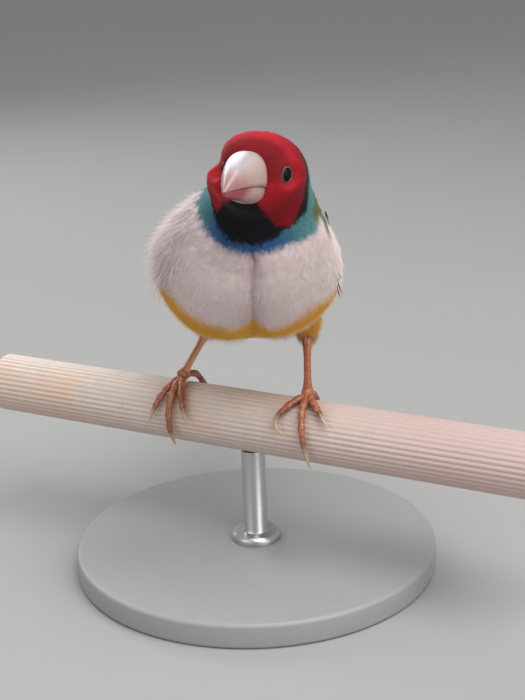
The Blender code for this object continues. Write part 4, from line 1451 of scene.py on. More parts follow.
def add_vane(build, top_of, half_width, shape, colour_of, cell, rng):
    """Adds one closed feather. top_of(share, across, lift) gives its points; across is in metres
    from the shaft, and colour_of(share, across) its colour, across from -1 to 1."""
    share = vane_rows()
    rows = len(share)
    width = half_width * vane_profile(share, shape)
    ragged = 1 + 0.035 * rng.normal(size=(rows, 2))
    columns = VANE_COLUMNS
    side = np.where(columns < 0, 0, 1)
    across = columns * width[:, None] * ragged[:, side]
    crown = 0.1 * MM * (1 - columns**2) * np.ones((rows, 1))
    shaft = bell((columns, 0, 0.08)) * 0.06 * MM * (1 - 0.6 * share)[:, None]
    shares = np.broadcast_to(share[:, None], across.shape)
    top = top_of(shares, across, crown + shaft + VANE_THICKNESS)
    bottom = top_of(shares, across, crown)
    count = len(columns)
    n = rows * count
    faces, corners = grid_faces(rows, count)
    under = [tuple(i + n for i in reversed(f)) for f in faces]
    maps = [((columns[c] + 1) / 2, share[r]) for r, c in corners]
    under_maps = [maps[k + i] for k in range(0, len(corners), 4) for i in (3, 2, 1, 0)]
    rim = list(range(count)) + [r * count + count - 1 for r in range(1, rows)]
    rim += [(rows - 1) * count + c for c in range(count - 2, -1, -1)]
    rim += [r * count for r in range(rows - 2, 0, -1)]
    rim_faces = []
    rim_maps = []
    for a, b in zip(rim, rim[1:] + rim[:1]):
        rim_faces.append((b, a, n + a, n + b))
        places = [((columns[i % count] + 1) / 2, share[i // count]) for i in (b, a)]
        rim_maps += [places[0], places[1], places[1], places[0]]
    points = np.concatenate([top.reshape(-1, 3), bottom.reshape(-1, 3)])
    colours = colour_of(shares, np.broadcast_to(columns, across.shape)).reshape(-1, 3)
    colours = np.concatenate([colours, colours * 0.8])
    all_maps = np.array(maps + under_maps + rim_maps)
    number, total = cell
    across_cells = math.ceil(math.sqrt(total))
    corner = np.array([number % across_cells, number // across_cells])
    cells = (corner + CELL_EDGE + (1 - 2 * CELL_EDGE) * all_maps) / across_cells
    build.add(points, faces + under + rim_faces, all_maps, colours, cells)


# Rows of the folded wing, from the feather nearest the back to the lowest one:
# name, count, roots (place, angle), tips (place, angle), half width, lifts at root, tip and lower
# edge in mm, pointed
WING_ROWS = (
    ("primary", 9, (5.6, 62), (5.5, 80), (1.7, 26), (0.5, 39), 2.3, (0.55, 0.6, 0.5), True),
    ("secondary", 6, (6.0, 44), (5.7, 68), (3.1, 28), (2.0, 40), 2.7, (0.7, 1.0, 0.45), False),
    ("tertial", 3, (6.2, 34), (6.0, 44), (3.6, 22), (2.9, 29), 3.4, (1.0, 1.35, 0.5), False),
    ("greater", 9, (6.5, 36), (6.1, 81), (4.8, 34), (4.25, 77), 2.5, (0.9, 1.6, 0.35), False),
    ("median", 8, (6.75, 39), (6.45, 78), (5.6, 37), (5.3, 77), 2.4, (0.9, 1.8, 0.3), False),
    ("lesser", 8, (6.9, 44), (6.7, 74), (6.15, 42), (5.95, 76), 2.1, (0.8, 1.9, 0.25), False),
)


def wing_vane(build, row, share_of_row, side, plumage, cell, rng):
    name, _, first_root, last_root, first_tip, last_tip, half_width, lifts, pointed = row
    root = np.array(first_root) * (1 - share_of_row) + np.array(last_root) * share_of_row
    tip = np.array(first_tip) * (1 - share_of_row) + np.array(last_tip) * share_of_row
    tip = tip + rng.normal(size=2) * (0.02, 0.5)

    def top_of(share, across, lift):
        place = root[0] + (tip[0] - root[0]) * share
        angle = np.radians(root[1] + (tip[1] - root[1]) * share)
        s = sections(place)
        reach = np.hypot(s[..., HALF_WIDTH] * np.sin(angle), s[..., ABOVE] * np.cos(angle)) * MM
        sideways = np.clip(across / (half_width * MM), -1, 1)
        raised = lifts[0] + (lifts[1] - lifts[0]) * share + lifts[2] * (sideways + 1) / 2
        return surface(place, (angle + across / reach) * side, raised * MM + lift)

    green = np.array(plumage.green)
    brown = np.array(plumage.brown)
    tone = 1 + 0.08 * rng.normal()

    def colour_of(share, across):
        if name in ("primary", "secondary"):
            fading = 0.75 * smoothstep(0.35, 0.9, share) * (name == "primary")
            edge = smoothstep(0.45, 0.8, across) * (1 - fading)
            return blend(brown, green * 0.9, edge) * tone
        centre = (1 - np.abs(across)) * 0.35 * (1 - smoothstep(0.6, 1.0, share))
        mixed = blend(green, brown, centre)
        if name == "tertial":
            mixed = green * 0.75 + brown * 0.25 + (mixed - green) * 0.6
        return mixed * tone * (0.92 + 0.16 * share[..., None])

    shape = "pointed" if pointed else "round"
    add_vane(build, top_of, half_width * MM, shape, colour_of, cell, rng)


STRAYS = (
    # place, angle in degrees, length, width, and the way out and down against the lie, as shares
    (10.25, -74, 3.0, 0.34, 0.3, 0.25),
    (10.05, -70, 2.4, 0.26, 0.5, 0.1),
    (11.9, -100, 1.8, 0.3, 0.5, 0.0),
    (9.75, 80, 3.4, 0.34, 0.16, 0.5),
    (9.6, 76, 2.8, 0.3, 0.3, 0.35),
    (8.2, 103, 4.0, 0.6, 0.3, 0.75),
    (8.05, 106, 3.4, 0.5, 0.36, 0.9),
    (8.3, 98, 3.0, 0.4, 0.5, 0.5),
)


class FINCH_OT_strays(bpy.types.Operator):
    """Add the few dark feather tips that stand out at the neck and the flank"""

    bl_idname = "finch.strays"
    bl_label = "Stray feathers"

    def execute(self, context):
        plumage = context.scene.finch_plumage
        build = Build()
        for place, degrees, length, width, out, down in STRAYS:
            spot = np.array([place]), np.array([math.radians(degrees)])
            root = surface(*spot, -0.4 * MM)[0]
            outward = unit(surface(*spot, 1.0 * MM)[0] - root)
            lie = unit(surface(spot[0] - 0.02, spot[1])[0] - surface(*spot)[0])
            way = lie + outward * out - np.array([0.0, 0.0, down])
            add_barb(build, root, way, length * MM, width * MM, 0.1 * MM)
        strays = build.finish("stray_feathers", vane_material())
        paint(strays.data, np.array(plumage.tail) * 1.4)
        settle(strays, "wing_feathers")
        return {"FINISHED"}


class FINCH_OT_wings(bpy.types.Operator):
    """Lay the flight feathers and coverts of both folded wings"""

    bl_idname = "finch.wings"
    bl_label = "Wings"

    def execute(self, context):
        plumage = context.scene.finch_plumage
        material = vane_material()
        total = sum(row[1] for row in WING_ROWS)
        for side, name in ((1, "wing_left"), (-1, "wing_right")):
            rng = np.random.default_rng(plumage.seed + 40)
            build = Build()
            number = 0
            for row in WING_ROWS:
                for k in range(row[1]):
                    wing_vane(build, row, k / (row[1] - 1), side, plumage, (number, total), rng)
                    number += 1
            settle(build.finish(name + "_feathers", material), "wing_feathers", name)
        return {"FINISHED"}


def vane_material():
    """Smooth vanes with a shaft and fine slanting barbs."""
    if "vane" in bpy.data.materials:
        return bpy.data.materials["vane"]
    tone = {"Root_shade": 0.95, "Tip_shade": 1.0, "Variety": 0.0, "Barbs": 0.08, "Barb_count": 70.0}
    return feather_material("vane", 0.5, 0.15, relief=0.35, **tone)


def tail_point(behind, aside, rise):
    """Points over the tail's own straight line, from the tail's root."""
    s = sections(np.array(TAIL_ROOT))
    forward, left, up = axes(np.array(22.0), np.array(0.0), np.array(0.0))
    root = np.array([s[ASIDE], s[BEHIND], s[HEIGHT] + PERCH_AXIS_HEIGHT]) * MM
    behind, aside, rise = np.broadcast_arrays(behind, aside, rise)
    offset = -forward * (behind[..., None] + GAP / 2)
    return root + offset + left * aside[..., None] + up * rise[..., None]


def tail_vane(build, length, fan, rise, half_width, start_aside, kind, hue, cell, rng):
    slope = math.tan(math.radians(fan))

    def top_of(share, across, lift):
        behind = (0.4 + length * share) * MM
        aside = start_aside * MM + behind * slope + across
        return tail_point(behind, aside, rise * MM - 0.035 * np.abs(aside) + lift - 0.07 * MM)

    def colour_of(share, across):
        edge = 0.25 * smoothstep(0.7, 1.0, np.abs(across))
        return np.array(hue) * (1 + edge)[..., None] * (0.9 + 0.2 * share)[..., None]

    add_vane(build, top_of, half_width * MM, kind, colour_of, cell, rng)


TAIL_PAIRS = 6
TAIL_COVERTS = 9  # above the tail, and as many under it


class FINCH_OT_tail(bpy.types.Operator):
    """Stack the tail feathers and their coverts"""

    bl_idname = "finch.tail"
    bl_label = "Tail"

    def execute(self, context):
        plumage = context.scene.finch_plumage
        rng = np.random.default_rng(plumage.seed + 60)
        build = Build()
        total = 2 * (TAIL_PAIRS + TAIL_COVERTS)
        number = 0
        for pair in range(TAIL_PAIRS):
            share = max(0.0, (pair - 1) / 4)
            length, half_width, kind = 39 - 9 * share, 2.2, "round"
            if pair == 0:
                length, half_width, kind = 50, 1.6, "pin"
            for side in (-1, 1):
                fan = side * (0.5 + 1.15 * pair)
                rise = 0.9 - 0.36 * pair + side * 0.04
                aside = side * (0.75 + 0.3 * pair)
                size = (length, fan, rise, half_width, aside, kind)
                tail_vane(build, *size, plumage.tail, (number, total), rng)
                number += 1
        for over, hue in ((1, plumage.rump), (-1, plumage.vent)):
            for k in range(TAIL_COVERTS):
                off = k - TAIL_COVERTS // 2
                length = 15 - abs(off) * 0.9 - 3 * (k % 2)
                rise = over * (2.0 - abs(off) * 0.16 + 0.25 * (k % 2))
                size = (length, off * 0.9, rise, 1.7, off * 0.75, "round")
                tail_vane(build, *size, hue, (number, total), rng)
                number += 1
        settle(build.finish("tail_feathers", vane_material()), "tail_feathers", "tail")
        return {"FINISHED"}


# Bill and eyes


BILL_ROOT = 7.0 * MM
BILL_TIP = 18.3 * MM
BILL_HALF_WIDTH = 3.5 * MM
MOUTH_RISE = -0.2 * MM  # of its line at the root
MOUTH_DROP = 1.5 * MM  # from there to the tip
MOUTH_BOW = 0.4 * MM
TIP_RISE = -1.5 * MM
CULMEN_HEIGHT = 6.9 * MM  # over the tip
CHIN_RISE = -3.1 * MM


def bill_rings(upper):
    """Rings of half the bill, flat at the mouth and rounded outside."""
    reach = 1.0 if upper else 0.965
    breadth = BILL_HALF_WIDTH * (1.0 if upper else 0.93)
    turns = np.linspace(0, math.pi, 33)
    inner = np.linspace(-1, 1, 9)[1:-1]
    rings = []
    for share in np.linspace(0, 1, 44) ** 0.85 * reach:
        ahead = BILL_ROOT + (BILL_TIP - BILL_ROOT) * share
        half_width = breadth * (1 - share**1.75) + 0.1 * MM
        mouth = MOUTH_RISE - MOUTH_DROP * share**1.3 + MOUTH_BOW * math.sin(math.pi * share)
        if upper:
            edge = mouth + 0.04 * MM
            outer = TIP_RISE + CULMEN_HEIGHT * (1 - share**2)
        else:
            edge = mouth - 0.04 * MM
            outer = CHIN_RISE + 0.8 * MM * share**1.4 - 0.22 * MM * max(0.0, 1 - share / 0.45)
        on_right = turns > math.pi / 2
        aside_power = np.where(on_right & upper, 0.66, 0.84)
        rise_power = np.where(on_right, *((0.66, 0.84) if upper else (0.9, 0.72)))
        aside = half_width * np.sign(np.cos(turns)) * np.abs(np.cos(turns)) ** aside_power
        rise = edge + (outer - edge) * np.sin(turns) ** rise_power
        ridge = np.exp(-(((turns - math.pi / 2) / 0.3) ** 2)) * (0.05 if upper else 0.03) * MM
        rise = rise + ridge * np.sign(outer - edge)
        aside = np.concatenate([aside, half_width * inner])
        rise = np.concatenate([rise, np.full(len(inner), edge)])
        rings.append(head_place(np.full(len(aside), ahead), aside, rise))
    return rings


class FINCH_OT_bill(bpy.types.Operator):
    """Turn both halves of the bill"""

    bl_idname = "finch.bill"
    bl_label = "Bill"

    def execute(self, context):
        bare = context.scene.finch_bare
        material = grained_material(
            "bill horn",
            (900.0, 0.35, (1.0, 1.0, 0.6)),
            lambda tree, mask: toned(tree, mask, 0.42, 0.79),
            Roughness=0.34,
            Subsurface_Weight=0.25,
            Subsurface_Radius=(0.0012, 0.0007, 0.0005),
            Coat_Weight=0.25,
        )
        for upper, half in ((True, "upper"), (False, "lower")):
            shape = tube_shape(bill_rings(upper))
            ahead, left, rise = head_parts(shape[0])
            along = (ahead - BILL_ROOT / MM) / ((BILL_TIP - BILL_ROOT) / MM)
            # Painted shade: darker, warmer horn towards the bill's left side and lower down
            horn = blend(bare.bill, bare.bill_painted_shade, smoothstep(-0.6, 2.6, left - 0.25 * rise))
            # Painted highlight: lighter, bluish horn on the bill's right side, towards its root
            pale = smoothstep(0.9, -0.7, left) * smoothstep(0.8, 0.4, along)
            horn = blend(horn, bare.bill_painted_highlight, pale)
            if upper:
                front = smoothstep(0.22, 0.85, along) * smoothstep(3.6, -0.4, rise)
                share = 0.55 * front * smoothstep(-1.8, -0.4, left)
                share = np.maximum(share, 0.5 * smoothstep(0.8, 1.0, along))
            else:
                horn = horn * 1.15
                share = 0.18 + 0.76 * smoothstep(0.28, 0.62, along - 0.04 * left + 0.06 * (rise + 2))
            colours = blend(horn, bare.bill_tip, share)
            piece = closed_piece("bill_" + half, shape, material, colours)
            settle(piece, "bill", half + "_bill")
        return {"FINISHED"}


class FINCH_OT_eyes(bpy.types.Operator):
    """Set the eyes and their bare lids"""

    bl_idname = "finch.eyes"
    bl_label = "Eyes"

    def execute(self, context):
        bare = context.scene.finch_bare
        eye_material = grained_material(
            "eye",
            (2500.0, 0.0),
            lambda tree, mask: toned(tree, mask, 0.6, 0.7),
            Roughness=0.12,
            Specular_IOR_Level=0.1,
        )
        lid_material = grained_material(
            "eye ring",
            (2600.0, 0.5),
            lambda tree, mask: shades(tree, mask, bare.eye_ring, 0.7, 1.25),
            Roughness=0.55,
            Subsurface_Weight=0.15,
            Subsurface_Radius=(0.0004, 0.0002, 0.0002),
        )
        for side, name in ((1, "left"), (-1, "right")):
            outward = eye_outward(side)
            aside = unit(np.cross(outward, HEAD_UP)) * -side
            over = unit(np.cross(outward, aside)) * side
            if over @ HEAD_UP < 0:
                over = -over
            centre = eye_centre(side)
            self.eyeball(name, centre, outward, (aside, over), bare.eye, eye_material)
            self.lids(name, centre, outward, (aside, over), lid_material)
        return {"FINISHED"}

    def eyeball(self, name, centre, outward, across, iris, material):
        rings = []
        for polar in np.linspace(0.02, math.pi - 0.02, EYE_RINGS):
            bulge = EYE_RADIUS * (1 + 0.03 * math.exp(-((polar / 0.5) ** 2)))
            ring = centre + outward * (bulge * math.cos(polar) - EYE_SUNK)
            rings.append(ring + around(circle(EYE_SIDES), *across) * bulge * math.sin(polar))
        ball = tube_shape(rings)
        away = unit(ball[0] - centre + outward * EYE_SUNK) @ outward
        share = smoothstep(0.5, 0.6, away) * (1 - smoothstep(0.76, 0.82, away))
        colours = blend([PUPIL] * 3, iris, share)
        settle(closed_piece("eyeball_" + name, ball, material, colours), "eye", "eye_" + name)

    def lids(self, name, centre, outward, across, material):
        """A wrinkled ring round the eye."""
        aside, over = across
        rings = []
        for turn in circle(LID_RINGS):
            ray = aside * math.cos(turn) * 0.93 + over * math.sin(turn) * 1.04
            ray_length = np.linalg.norm(ray)
            ray = ray / ray_length
            middle = centre + ray * LID_MIDDLE * ray_length + outward * LID_REACH
            wrinkle = 1 + 0.05 * math.sin(turn * 22) + 0.04 * math.sin(turn * 9 + 1)
            lid = around(circle(LID_SIDES), ray * 0.14, outward * 0.13)
            rings.append(middle + lid * MM * wrinkle)
        faces, corners = grid_faces(LID_RINGS + 1, LID_SIDES, closed=True)
        faces = [tuple(i % (LID_RINGS * LID_SIDES) for i in face) for face in faces]
        maps = [(r / LID_RINGS, c / LID_SIDES) for r, c in corners]
        shape = (np.concatenate(rings), faces, maps)
        settle(closed_piece("lids_" + name, shape, material), "head_feathers")


# Legs


TOES = {
    # length, spread in degrees, claw length, claw curl radius, claw lean in degrees, joints
    "left": {
        "hallux": (6.8, 8, 4.6, 7.4, 0, 2),
        "inner": (6.8, -30, 5.6, 2.7, -78, 3),
        "middle": (11.3, 12, 5.2, 16, 0, 4),
        "outer": (6.9, 44, 3.4, 14, 0, 4),
    },
    "right": {
        "hallux": (6.8, -11, 4.6, 7.4, 0, 2),
        "inner": (8.8, 24, 3.6, 14, 0, 3),
        "middle": (12.9, 3, 4.0, 14, 0, 4),
        "outer": (8.8, -18, 3.6, 14, 0, 4),
    },
}
TOE_RADIUS = 0.78 * MM
SHANK_ROWS = 90
ANKLE_ROWS = 24
LEG_SIDES = 20
CLAW_SIDES = 14
HALLUX_ARCH = 0.6 * MM  # of the right foot, clear of the perch


def toe_path(perch, side, toe, distance):
    """Points of a toe's middle line that far from the ankle, and the ways out there."""
    length, spread = TOES[side][toe][:2]
    sign = -1 if toe == "hallux" else 1
    reach = perch.radius + GAP + TOE_RADIUS
    lean = math.radians(spread)
    around = sign * distance * math.cos(lean) / reach
    aside = sign * distance * math.sin(lean)
    arch = HALLUX_ARCH if (side, toe) == ("right", "hallux") else 0.0
    lifted = reach + arch * np.sin(math.pi * np.minimum(1, distance / (length * MM))) ** 2
    return on_perch(perch, THIGHS[side][0] * MM + aside, around, lifted)


def uneven(count):
    """The same count with some scutes longer than others, from nothing upwards."""
    return np.maximum(0, count + 0.22 * np.sin(count * 2.3) + 0.12 * np.sin(count * 5.1))


def scaled_rings(path, outward, radii, scute, depth):
    """Rings with overlapping scutes over the top and soft pads below."""
    turns = circle(LEG_SIDES)
    walked = walked_along(path)[:, None]
    upper = smoothstep(-0.35, 0.25, np.sin(turns))
    lip = depth * ((uneven(walked / scute) % 1.0) ** 1.5 - 0.5)
    grain = depth * 0.5 * np.sin(turns * 7 + walked / (0.18 * MM))
    return rings_along(path, outward, radii[:, None] + lip * upper + grain * (1 - upper), 0.94)


def crease_colour(walked, scute, bare, rng, contrast):
    """Darker between the scutes, each scute a little different."""
    count = uneven(walked / scute)
    number = np.floor(count).astype(int)
    tones = 1 + 0.12 * contrast * rng.normal(size=number.max() + 2)
    dark = np.maximum(smoothstep(0.14, 0.0, count % 1.0), smoothstep(0.9, 1.0, count % 1.0))
    skin = np.array(bare.leg) * tones[number][:, None]
    return blend(skin, bare.leg_crease, 0.6 * contrast * dark)


def add_scaled(
    build, path, outward, radii, scute, bare, rng, redness=(0.0, 0.0), contrast=1.0, painted_highlight=0.0
):
    """Adds a scaled limb, redder from the first to the second share, with a highlight painted on its
    left side.
    """
    rings = scaled_rings(path, outward, radii, scute, 0.07 * MM * contrast)
    points, faces, maps = tube_shape(rings)
    colours = crease_colour(walked_along(path), scute, bare, rng, contrast)
    colours = blend(colours, bare.leg_crease, np.linspace(*redness, len(path)))
    # Painted highlight: the side of the limb facing +X, the bird's left, made paler
    facing = unit(rings - path[:, None])[..., 0]
    pale = painted_highlight * smoothstep(-0.3, 0.7, facing)
    sides = blend(np.repeat(colours, LEG_SIDES, axis=0), bare.leg_pale_wear_and_highlight, pale.ravel())
    build.add(points, faces, maps, np.concatenate([sides, colours[[0, -1]]]))


def toe_radii(share, joints):
    """A toe tapers, and swells at each of its joints."""
    return TOE_RADIUS * (1.0 - 0.24 * share) * (1 + 0.1 * np.cos(math.tau * joints * share))


# How red the shank is from the ankle to the heel, and how much highlight is painted on its left side
SHANK_TONES = {"left": ((0.3, 0.1), 0.0), "right": ((0.1, 0.0), 0.75)}


class FINCH_OT_legs(bpy.types.Operator):
    """Build the scaled shanks, the toes round the perch and the claws"""

    bl_idname = "finch.legs"
    bl_label = "Legs and claws"

    def execute(self, context):
        bare = context.scene.finch_bare
        perch = context.scene.finch_perch
        rng = np.random.default_rng(context.scene.finch_plumage.seed + 80)
        skin = grained_material(
            "leg skin",
            (1100.0, 0.5),
            lambda tree, mask: mix(
                tree,
                ramp(tree, mask, 0.5, 0.7, 0.0, 0.36),
                toned(tree, mask, 0.9, 0.5),
                bare.leg_pale_wear_and_highlight,
            ),
            Roughness=0.27,
            Subsurface_Weight=0.12,
            Subsurface_Radius=(0.0006, 0.0002, 0.0001),
        )
        horn = grained_material(
            "claw horn",
            (1500.0, 0.3, (1.0, 1.0, 0.3)),
            lambda tree, mask: toned(tree, mask, 0.3, 0.85),
            Roughness=0.35,
            Subsurface_Weight=0.15,
            Subsurface_Radius=(0.0005, 0.0003, 0.0002),
        )
        for side in THIGHS:
            self.leg(perch, bare, side, skin, rng)
            self.claws(perch, bare, side, horn)
        return {"FINISHED"}

    def leg(self, perch, bare, side, material, rng):
        build = Build()
        ankle, heel = leg_points(perch, side)[:2]
        way = unit(heel - ankle)
        share = np.linspace(0, 1, SHANK_ROWS)
        path = ankle + (heel + way * 0.8 * MM - ankle) * share[:, None]
        swell = 0.55 * bell((share, 0, 0.14)) + 0.75 * bell((share, 1, 0.2))
        radii = 0.72 * MM * (1 + swell)
        outward = np.array([0.0, -1.0, 0.2])
        # pale is how much highlight is painted on the shank's left side
        red, pale = SHANK_TONES[side]
        add_scaled(build, path, outward, radii, 1.25 * MM, bare, rng, red, 0.4, pale)
        knob = ankle + way * np.linspace(-1.05, 1.05, ANKLE_ROWS)[:, None] * MM
        bulge = 1 - np.linspace(-0.97, 0.97, ANKLE_ROWS) ** 2
        radii = ANKLE_RADIUS * np.sqrt(np.maximum(bulge, 0.02))
        add_scaled(build, knob, outward, radii, 0.6 * MM, bare, rng, (0.3, 0.3), 0.6)
        for toe, (length, *_, joints) in TOES[side].items():
            distance = np.linspace(0, length, int(length * 9)) * MM
            path, out = toe_path(perch, side, toe, distance)
            radii = toe_radii(distance / distance[-1], joints)
            radii[-3:] *= (0.97, 0.88, 0.7)
            add_scaled(build, path, out, radii, bare.scute, bare, rng, (0.2, 0.7))
        leg = build.finish("leg_" + side, material)
        settle(leg, "leg_skin", "shank_" + side, "foot_" + side)

    def claws(self, perch, bare, side, material):
        build = Build()
        for toe, (length, _, claw, curl, lean, joints) in TOES[side].items():
            ends, out = toe_path(perch, side, toe, np.array([length - 0.2, length]) * MM)
            ahead = unit(ends[1] - ends[0])
            outward = out[1]
            aside = unit(np.cross(ahead, outward))
            lean = math.radians(lean)
            bend = -outward * math.cos(lean) + aside * math.sin(lean)
            bend = unit(bend - ahead * (bend @ ahead))
            share = np.linspace(0, 1, 26)
            turned = (-0.5 + (claw + 0.5) * share) / curl
            path = ends[1] + np.outer(np.sin(turned), ahead) * curl * MM
            path = path + np.outer(1 - np.cos(turned), bend) * curl * MM
            root = toe_radii(np.array(1.0), joints) * 0.8
            radii = root * (1 - share) ** 0.62 + 0.03 * MM
            reach = np.repeat(radii[:, None], CLAW_SIDES, axis=1)
            points, faces, maps = tube_shape(rings_along(path, outward, reach, 1.15))
            tones = blend(bare.claw_root, bare.claw, smoothstep(0.0, 0.55, share))
            colours = np.concatenate([np.repeat(tones, CLAW_SIDES, axis=0), tones[[0, -1]]])
            build.add(points, faces, maps, colours)
        nodes = [f"claw_{side}_{toe}" for toe in TOES[side]]
        settle(build.finish("claws_" + side, material), "claw", *nodes)


# Perch and stand


FLUTE_SIDES = 8  # points round each groove


class FINCH_OT_perch(bpy.types.Operator):
    """Extrude the fluted perch"""

    bl_idname = "finch.perch"
    bl_label = "Perch"

    def execute(self, context):
        perch = context.scene.finch_perch
        sides = perch.flutes * FLUTE_SIDES
        turns = circle(sides)
        groove = 0.5 - 0.5 * np.cos(turns * perch.flutes)
        reach = perch.radius - perch.flute_depth * groove**1.6
        half = perch.length / 2
        rings = []
        ends = [(half, 0.35), (half, 0.12), (half - 0.1 * MM, 0.03), (half - 0.35 * MM, 0.0)]
        stations = [(-a, b) for a, b in ends]
        stations += [(x, 0.0) for x in np.linspace(-half + MM, half - MM, 60)]
        stations += reversed(ends)
        for along, inset in stations:
            ring, _ = on_perch(perch, np.full(sides, along), turns, reach - inset * MM)
            rings.append(ring)
        material = grained_material(
            "perch plastic",
            (300.0, 0.15),
            lambda tree, mask: self.colour(tree, mask, perch),
            (0.2, 0.2),
            Subsurface_Weight=0.15,
            Subsurface_Radius=(0.002, 0.0015, 0.0012),
        )
        thing = closed_piece("perch_bar", tube_shape(rings), material, map_name="around")
        thing.data.set_sharp_from_angle(angle=math.radians(50))
        settle(thing, "perch", "perch")
        return {"FINISHED"}

    def colour(self, tree, mask, perch):
        """Worn plastic, stained in patches, with shade painted under it and towards its +X end, dark in
        its grooves.
        """
        plain = shades(tree, ramp(tree, mask, 0.35, 0.65), perch.plastic, 0.92, 1.0)
        where = add(tree, "ShaderNodeTexCoord").outputs["Object"]
        stained = ramp(tree, noise(tree, where, 55.0, 2.0), 0.45, 0.72, 0.0, 0.6)
        plain = mix(tree, stained, plain, perch.stain)
        spot = parted(tree, where)
        # Painted shade: the lower half of the perch darker and pinker
        low = ramp(tree, spot["Z"], perch.axis_height - perch.radius, perch.axis_height, 0.6, 0.0)
        plain = mix(tree, low, plain, perch.painted_shade)
        # Painted shade: darker and pinker towards the perch's +X end
        end_shade = ramp(tree, spot["X"], -0.01, 0.045, 0.0, 0.9)
        plain = mix(tree, end_shade, plain, perch.painted_shade)
        turn = map_place(tree, "around")["X"]
        wave = calc(tree, "COSINE", calc(tree, "MULTIPLY", turn, math.tau * perch.flutes))
        groove = ramp(tree, wave, -1.0, 0.3, 0.25, 0.0)
        return mix(tree, groove, plain, [v * c for v, c in zip(perch.plastic, (0.78, 0.68, 0.64))])


def turned_piece(name, profile, sides, material):
    """A solid of revolution about the stand's axis, closed at both ends."""
    round_axis = around(circle(sides), (1.0, 0.0, 0.0), (0.0, 1.0, 0.0))
    rings = [round_axis * radius + (0.0, 0.0, height) for radius, height in profile]
    thing = closed_piece(name, tube_shape(rings), material, map_name="around")
    thing.data.set_sharp_from_angle(angle=math.radians(35))
    return thing


class FINCH_OT_stand(bpy.types.Operator):
    """Turn the stand's base and rod"""

    bl_idname = "finch.stand"
    bl_label = "Stand"

    def execute(self, context):
        perch = context.scene.finch_perch
        painted = grained_material(
            "stand paint",
            (700.0, 0.2),
            lambda tree, mask: shades(tree, mask, perch.paint, 0.9, 1.06),
            (0.2, 0.38),
        )
        r, h = perch.base_radius, perch.base_height
        round_edge = 0.8 * MM
        bevel = [
            (r - round_edge * (1 - math.sin(t)), round_edge * (1 - math.cos(t)))
            for t in np.linspace(0, math.pi / 2, 7)
        ]
        profile = bevel + [(x, h - z) for x, z in reversed(bevel)]
        settle(turned_piece("base_disc", profile, 160, painted), "stand_paint", "stand_base")

        steel = grained_material(
            "stand steel",
            (500.0, 0.2, (1.0, 1.0, 12.0)),
            lambda tree, mask: shades(tree, mask, perch.steel, 0.8, 1.0),
            (0.25, 0.2),
            Metallic=1.0,
        )
        foot = h + 0.05 * MM
        rod = perch.rod_radius
        top = perch.axis_height - perch.radius * 0.985
        collar = ((5.0, 0.0), (5.0, 0.9), (4.85, 1.2), (4.4, 1.6))
        profile = [(radius * MM, foot + height * MM) for radius, height in collar]
        profile += [(rod + 0.3 * MM, foot + 1.75 * MM), (rod, foot + 2.2 * MM)]
        profile += [(rod, top - 0.4 * MM), (rod - 0.1 * MM, top)]
        settle(turned_piece("rod", profile, 64, steel), "stand_steel", "stand_rod")
        return {"FINISHED"}


# Stage


CAMERA_FROM_PERCH = np.array([2.524, -258.033, 98.932]) * MM
LIT = Vector((0, -5 * MM, 62 * MM))  # what the lights face


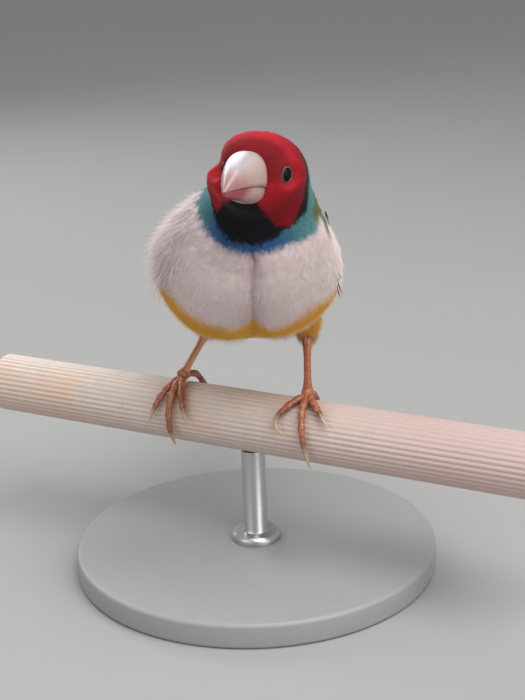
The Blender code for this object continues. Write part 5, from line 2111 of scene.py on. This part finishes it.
class FINCH_OT_stage(bpy.types.Operator):
    """Set the floor, the lights and the camera"""

    bl_idname = "finch.stage"
    bl_label = "Stage"

    def execute(self, context):
        stage = context.scene.finch_stage
        perch = context.scene.finch_perch
        plain = grained_material(
            "floor",
            (40.0, 0.02),
            lambda tree, mask: shades(tree, mask, stage.floor, 0.97, 1.0),
            Roughness=0.85,
        )
        size = 4.0
        corners = [(-size, -size, 0), (size, -size, 0), (size, size, 0), (-size, size, 0)]
        floor = mesh_object("floor", corners, [(0, 1, 2, 3)], plain)

        world = bpy.data.worlds.new("studio")
        context.scene.world = world
        context.scene.view_settings.view_transform = "Standard"
        world.use_nodes = True
        sky = world.node_tree.nodes["Background"].inputs
        sky["Color"].default_value = (0.93, 0.96, 1.0, 1.0)
        sky["Strength"].default_value = stage.sky

        self.light("key", (0.16, -0.2, 0.55), 0.45, stage.key_power)
        self.light("fill", (0.42, -0.5, 0.2), 0.4, stage.fill_power)
        self.light("side", (-0.42, -0.34, 0.3), 0.4, stage.side_power)
        self.light("rim", (-0.3, 0.42, 0.35), 0.3, stage.fill_power)

        camera = bpy.data.cameras.new("camera")
        camera.sensor_width = 36.0
        camera.lens = stage.focal_length
        camera.clip_start = 0.01
        thing = bpy.data.objects.new("camera", camera)
        context.scene.collection.objects.link(thing)
        p, r = stage.pitch, stage.roll
        ahead = Vector((0, math.cos(p), -math.sin(p)))
        level = Vector((1, 0, 0))
        upright = Vector((0, math.sin(p), math.cos(p)))
        right = level * math.cos(r) - upright * math.sin(r)
        up = upright * math.cos(r) + level * math.sin(r)
        place = Vector(CAMERA_FROM_PERCH) + Vector((0, 0, perch.axis_height))
        rows = zip(right, up, -ahead, place)
        thing.matrix_world = Matrix([list(row) for row in rows] + [[0, 0, 0, 1]])
        context.scene.camera = thing
        return {"FINISHED"}

    def light(self, name, place, size, power):
        """Adds a square soft light that faces the bird."""
        data = bpy.data.lights.new(name, "AREA")
        data.size = size
        data.energy = power
        thing = bpy.data.objects.new(name, data)
        bpy.context.scene.collection.objects.link(thing)
        way = LIT - Vector(place)
        thing.location = place
        thing.rotation_euler = way.to_track_quat("-Z", "Y").to_euler()


class FINCH_PT_panel(bpy.types.Panel):
    """Lists the pieces of the finch and their sizes and colours"""

    bl_label = "Gouldian Finch"
    bl_idname = "FINCH_PT_panel"
    bl_space_type = "VIEW_3D"
    bl_region_type = "UI"
    bl_category = "Finch"

    def draw(self, context):
        layout = self.layout
        for operator in OPERATORS:
            layout.operator(operator.bl_idname)
        for name in SETTINGS:
            settings = getattr(context.scene, name)
            box = layout.box()
            box.label(text=settings.bl_rna.description)
            for key in settings.__annotations__:
                box.prop(settings, key)


SETTINGS = {
    "finch_plumage": FinchPlumage,
    "finch_bare": FinchBareParts,
    "finch_perch": FinchPerch,
    "finch_stage": FinchStage,
}
OPERATORS = (
    FINCH_OT_skin,
    FINCH_OT_coats,
    FINCH_OT_wings,
    FINCH_OT_strays,
    FINCH_OT_tail,
    FINCH_OT_bill,
    FINCH_OT_eyes,
    FINCH_OT_legs,
    FINCH_OT_perch,
    FINCH_OT_stand,
    FINCH_OT_stage,
)


def register():
    for kind in (*SETTINGS.values(), *OPERATORS, FINCH_PT_panel):
        bpy.utils.register_class(kind)
    for name, kind in SETTINGS.items():
        setattr(bpy.types.Scene, name, PointerProperty(type=kind))


def unregister():
    for name in SETTINGS:
        delattr(bpy.types.Scene, name)
    for kind in (FINCH_PT_panel, *reversed(OPERATORS), *reversed(SETTINGS.values())):
        bpy.utils.unregister_class(kind)


def main():
    register()
    bpy.ops.finch.skin()
    bpy.ops.finch.coats()
    bpy.ops.finch.wings()
    bpy.ops.finch.strays()
    bpy.ops.finch.tail()
    bpy.ops.finch.bill()
    bpy.ops.finch.eyes()
    bpy.ops.finch.legs()
    bpy.ops.finch.perch()
    bpy.ops.finch.stand()
    bpy.ops.finch.stage()


if __name__ == "__main__":
    main()
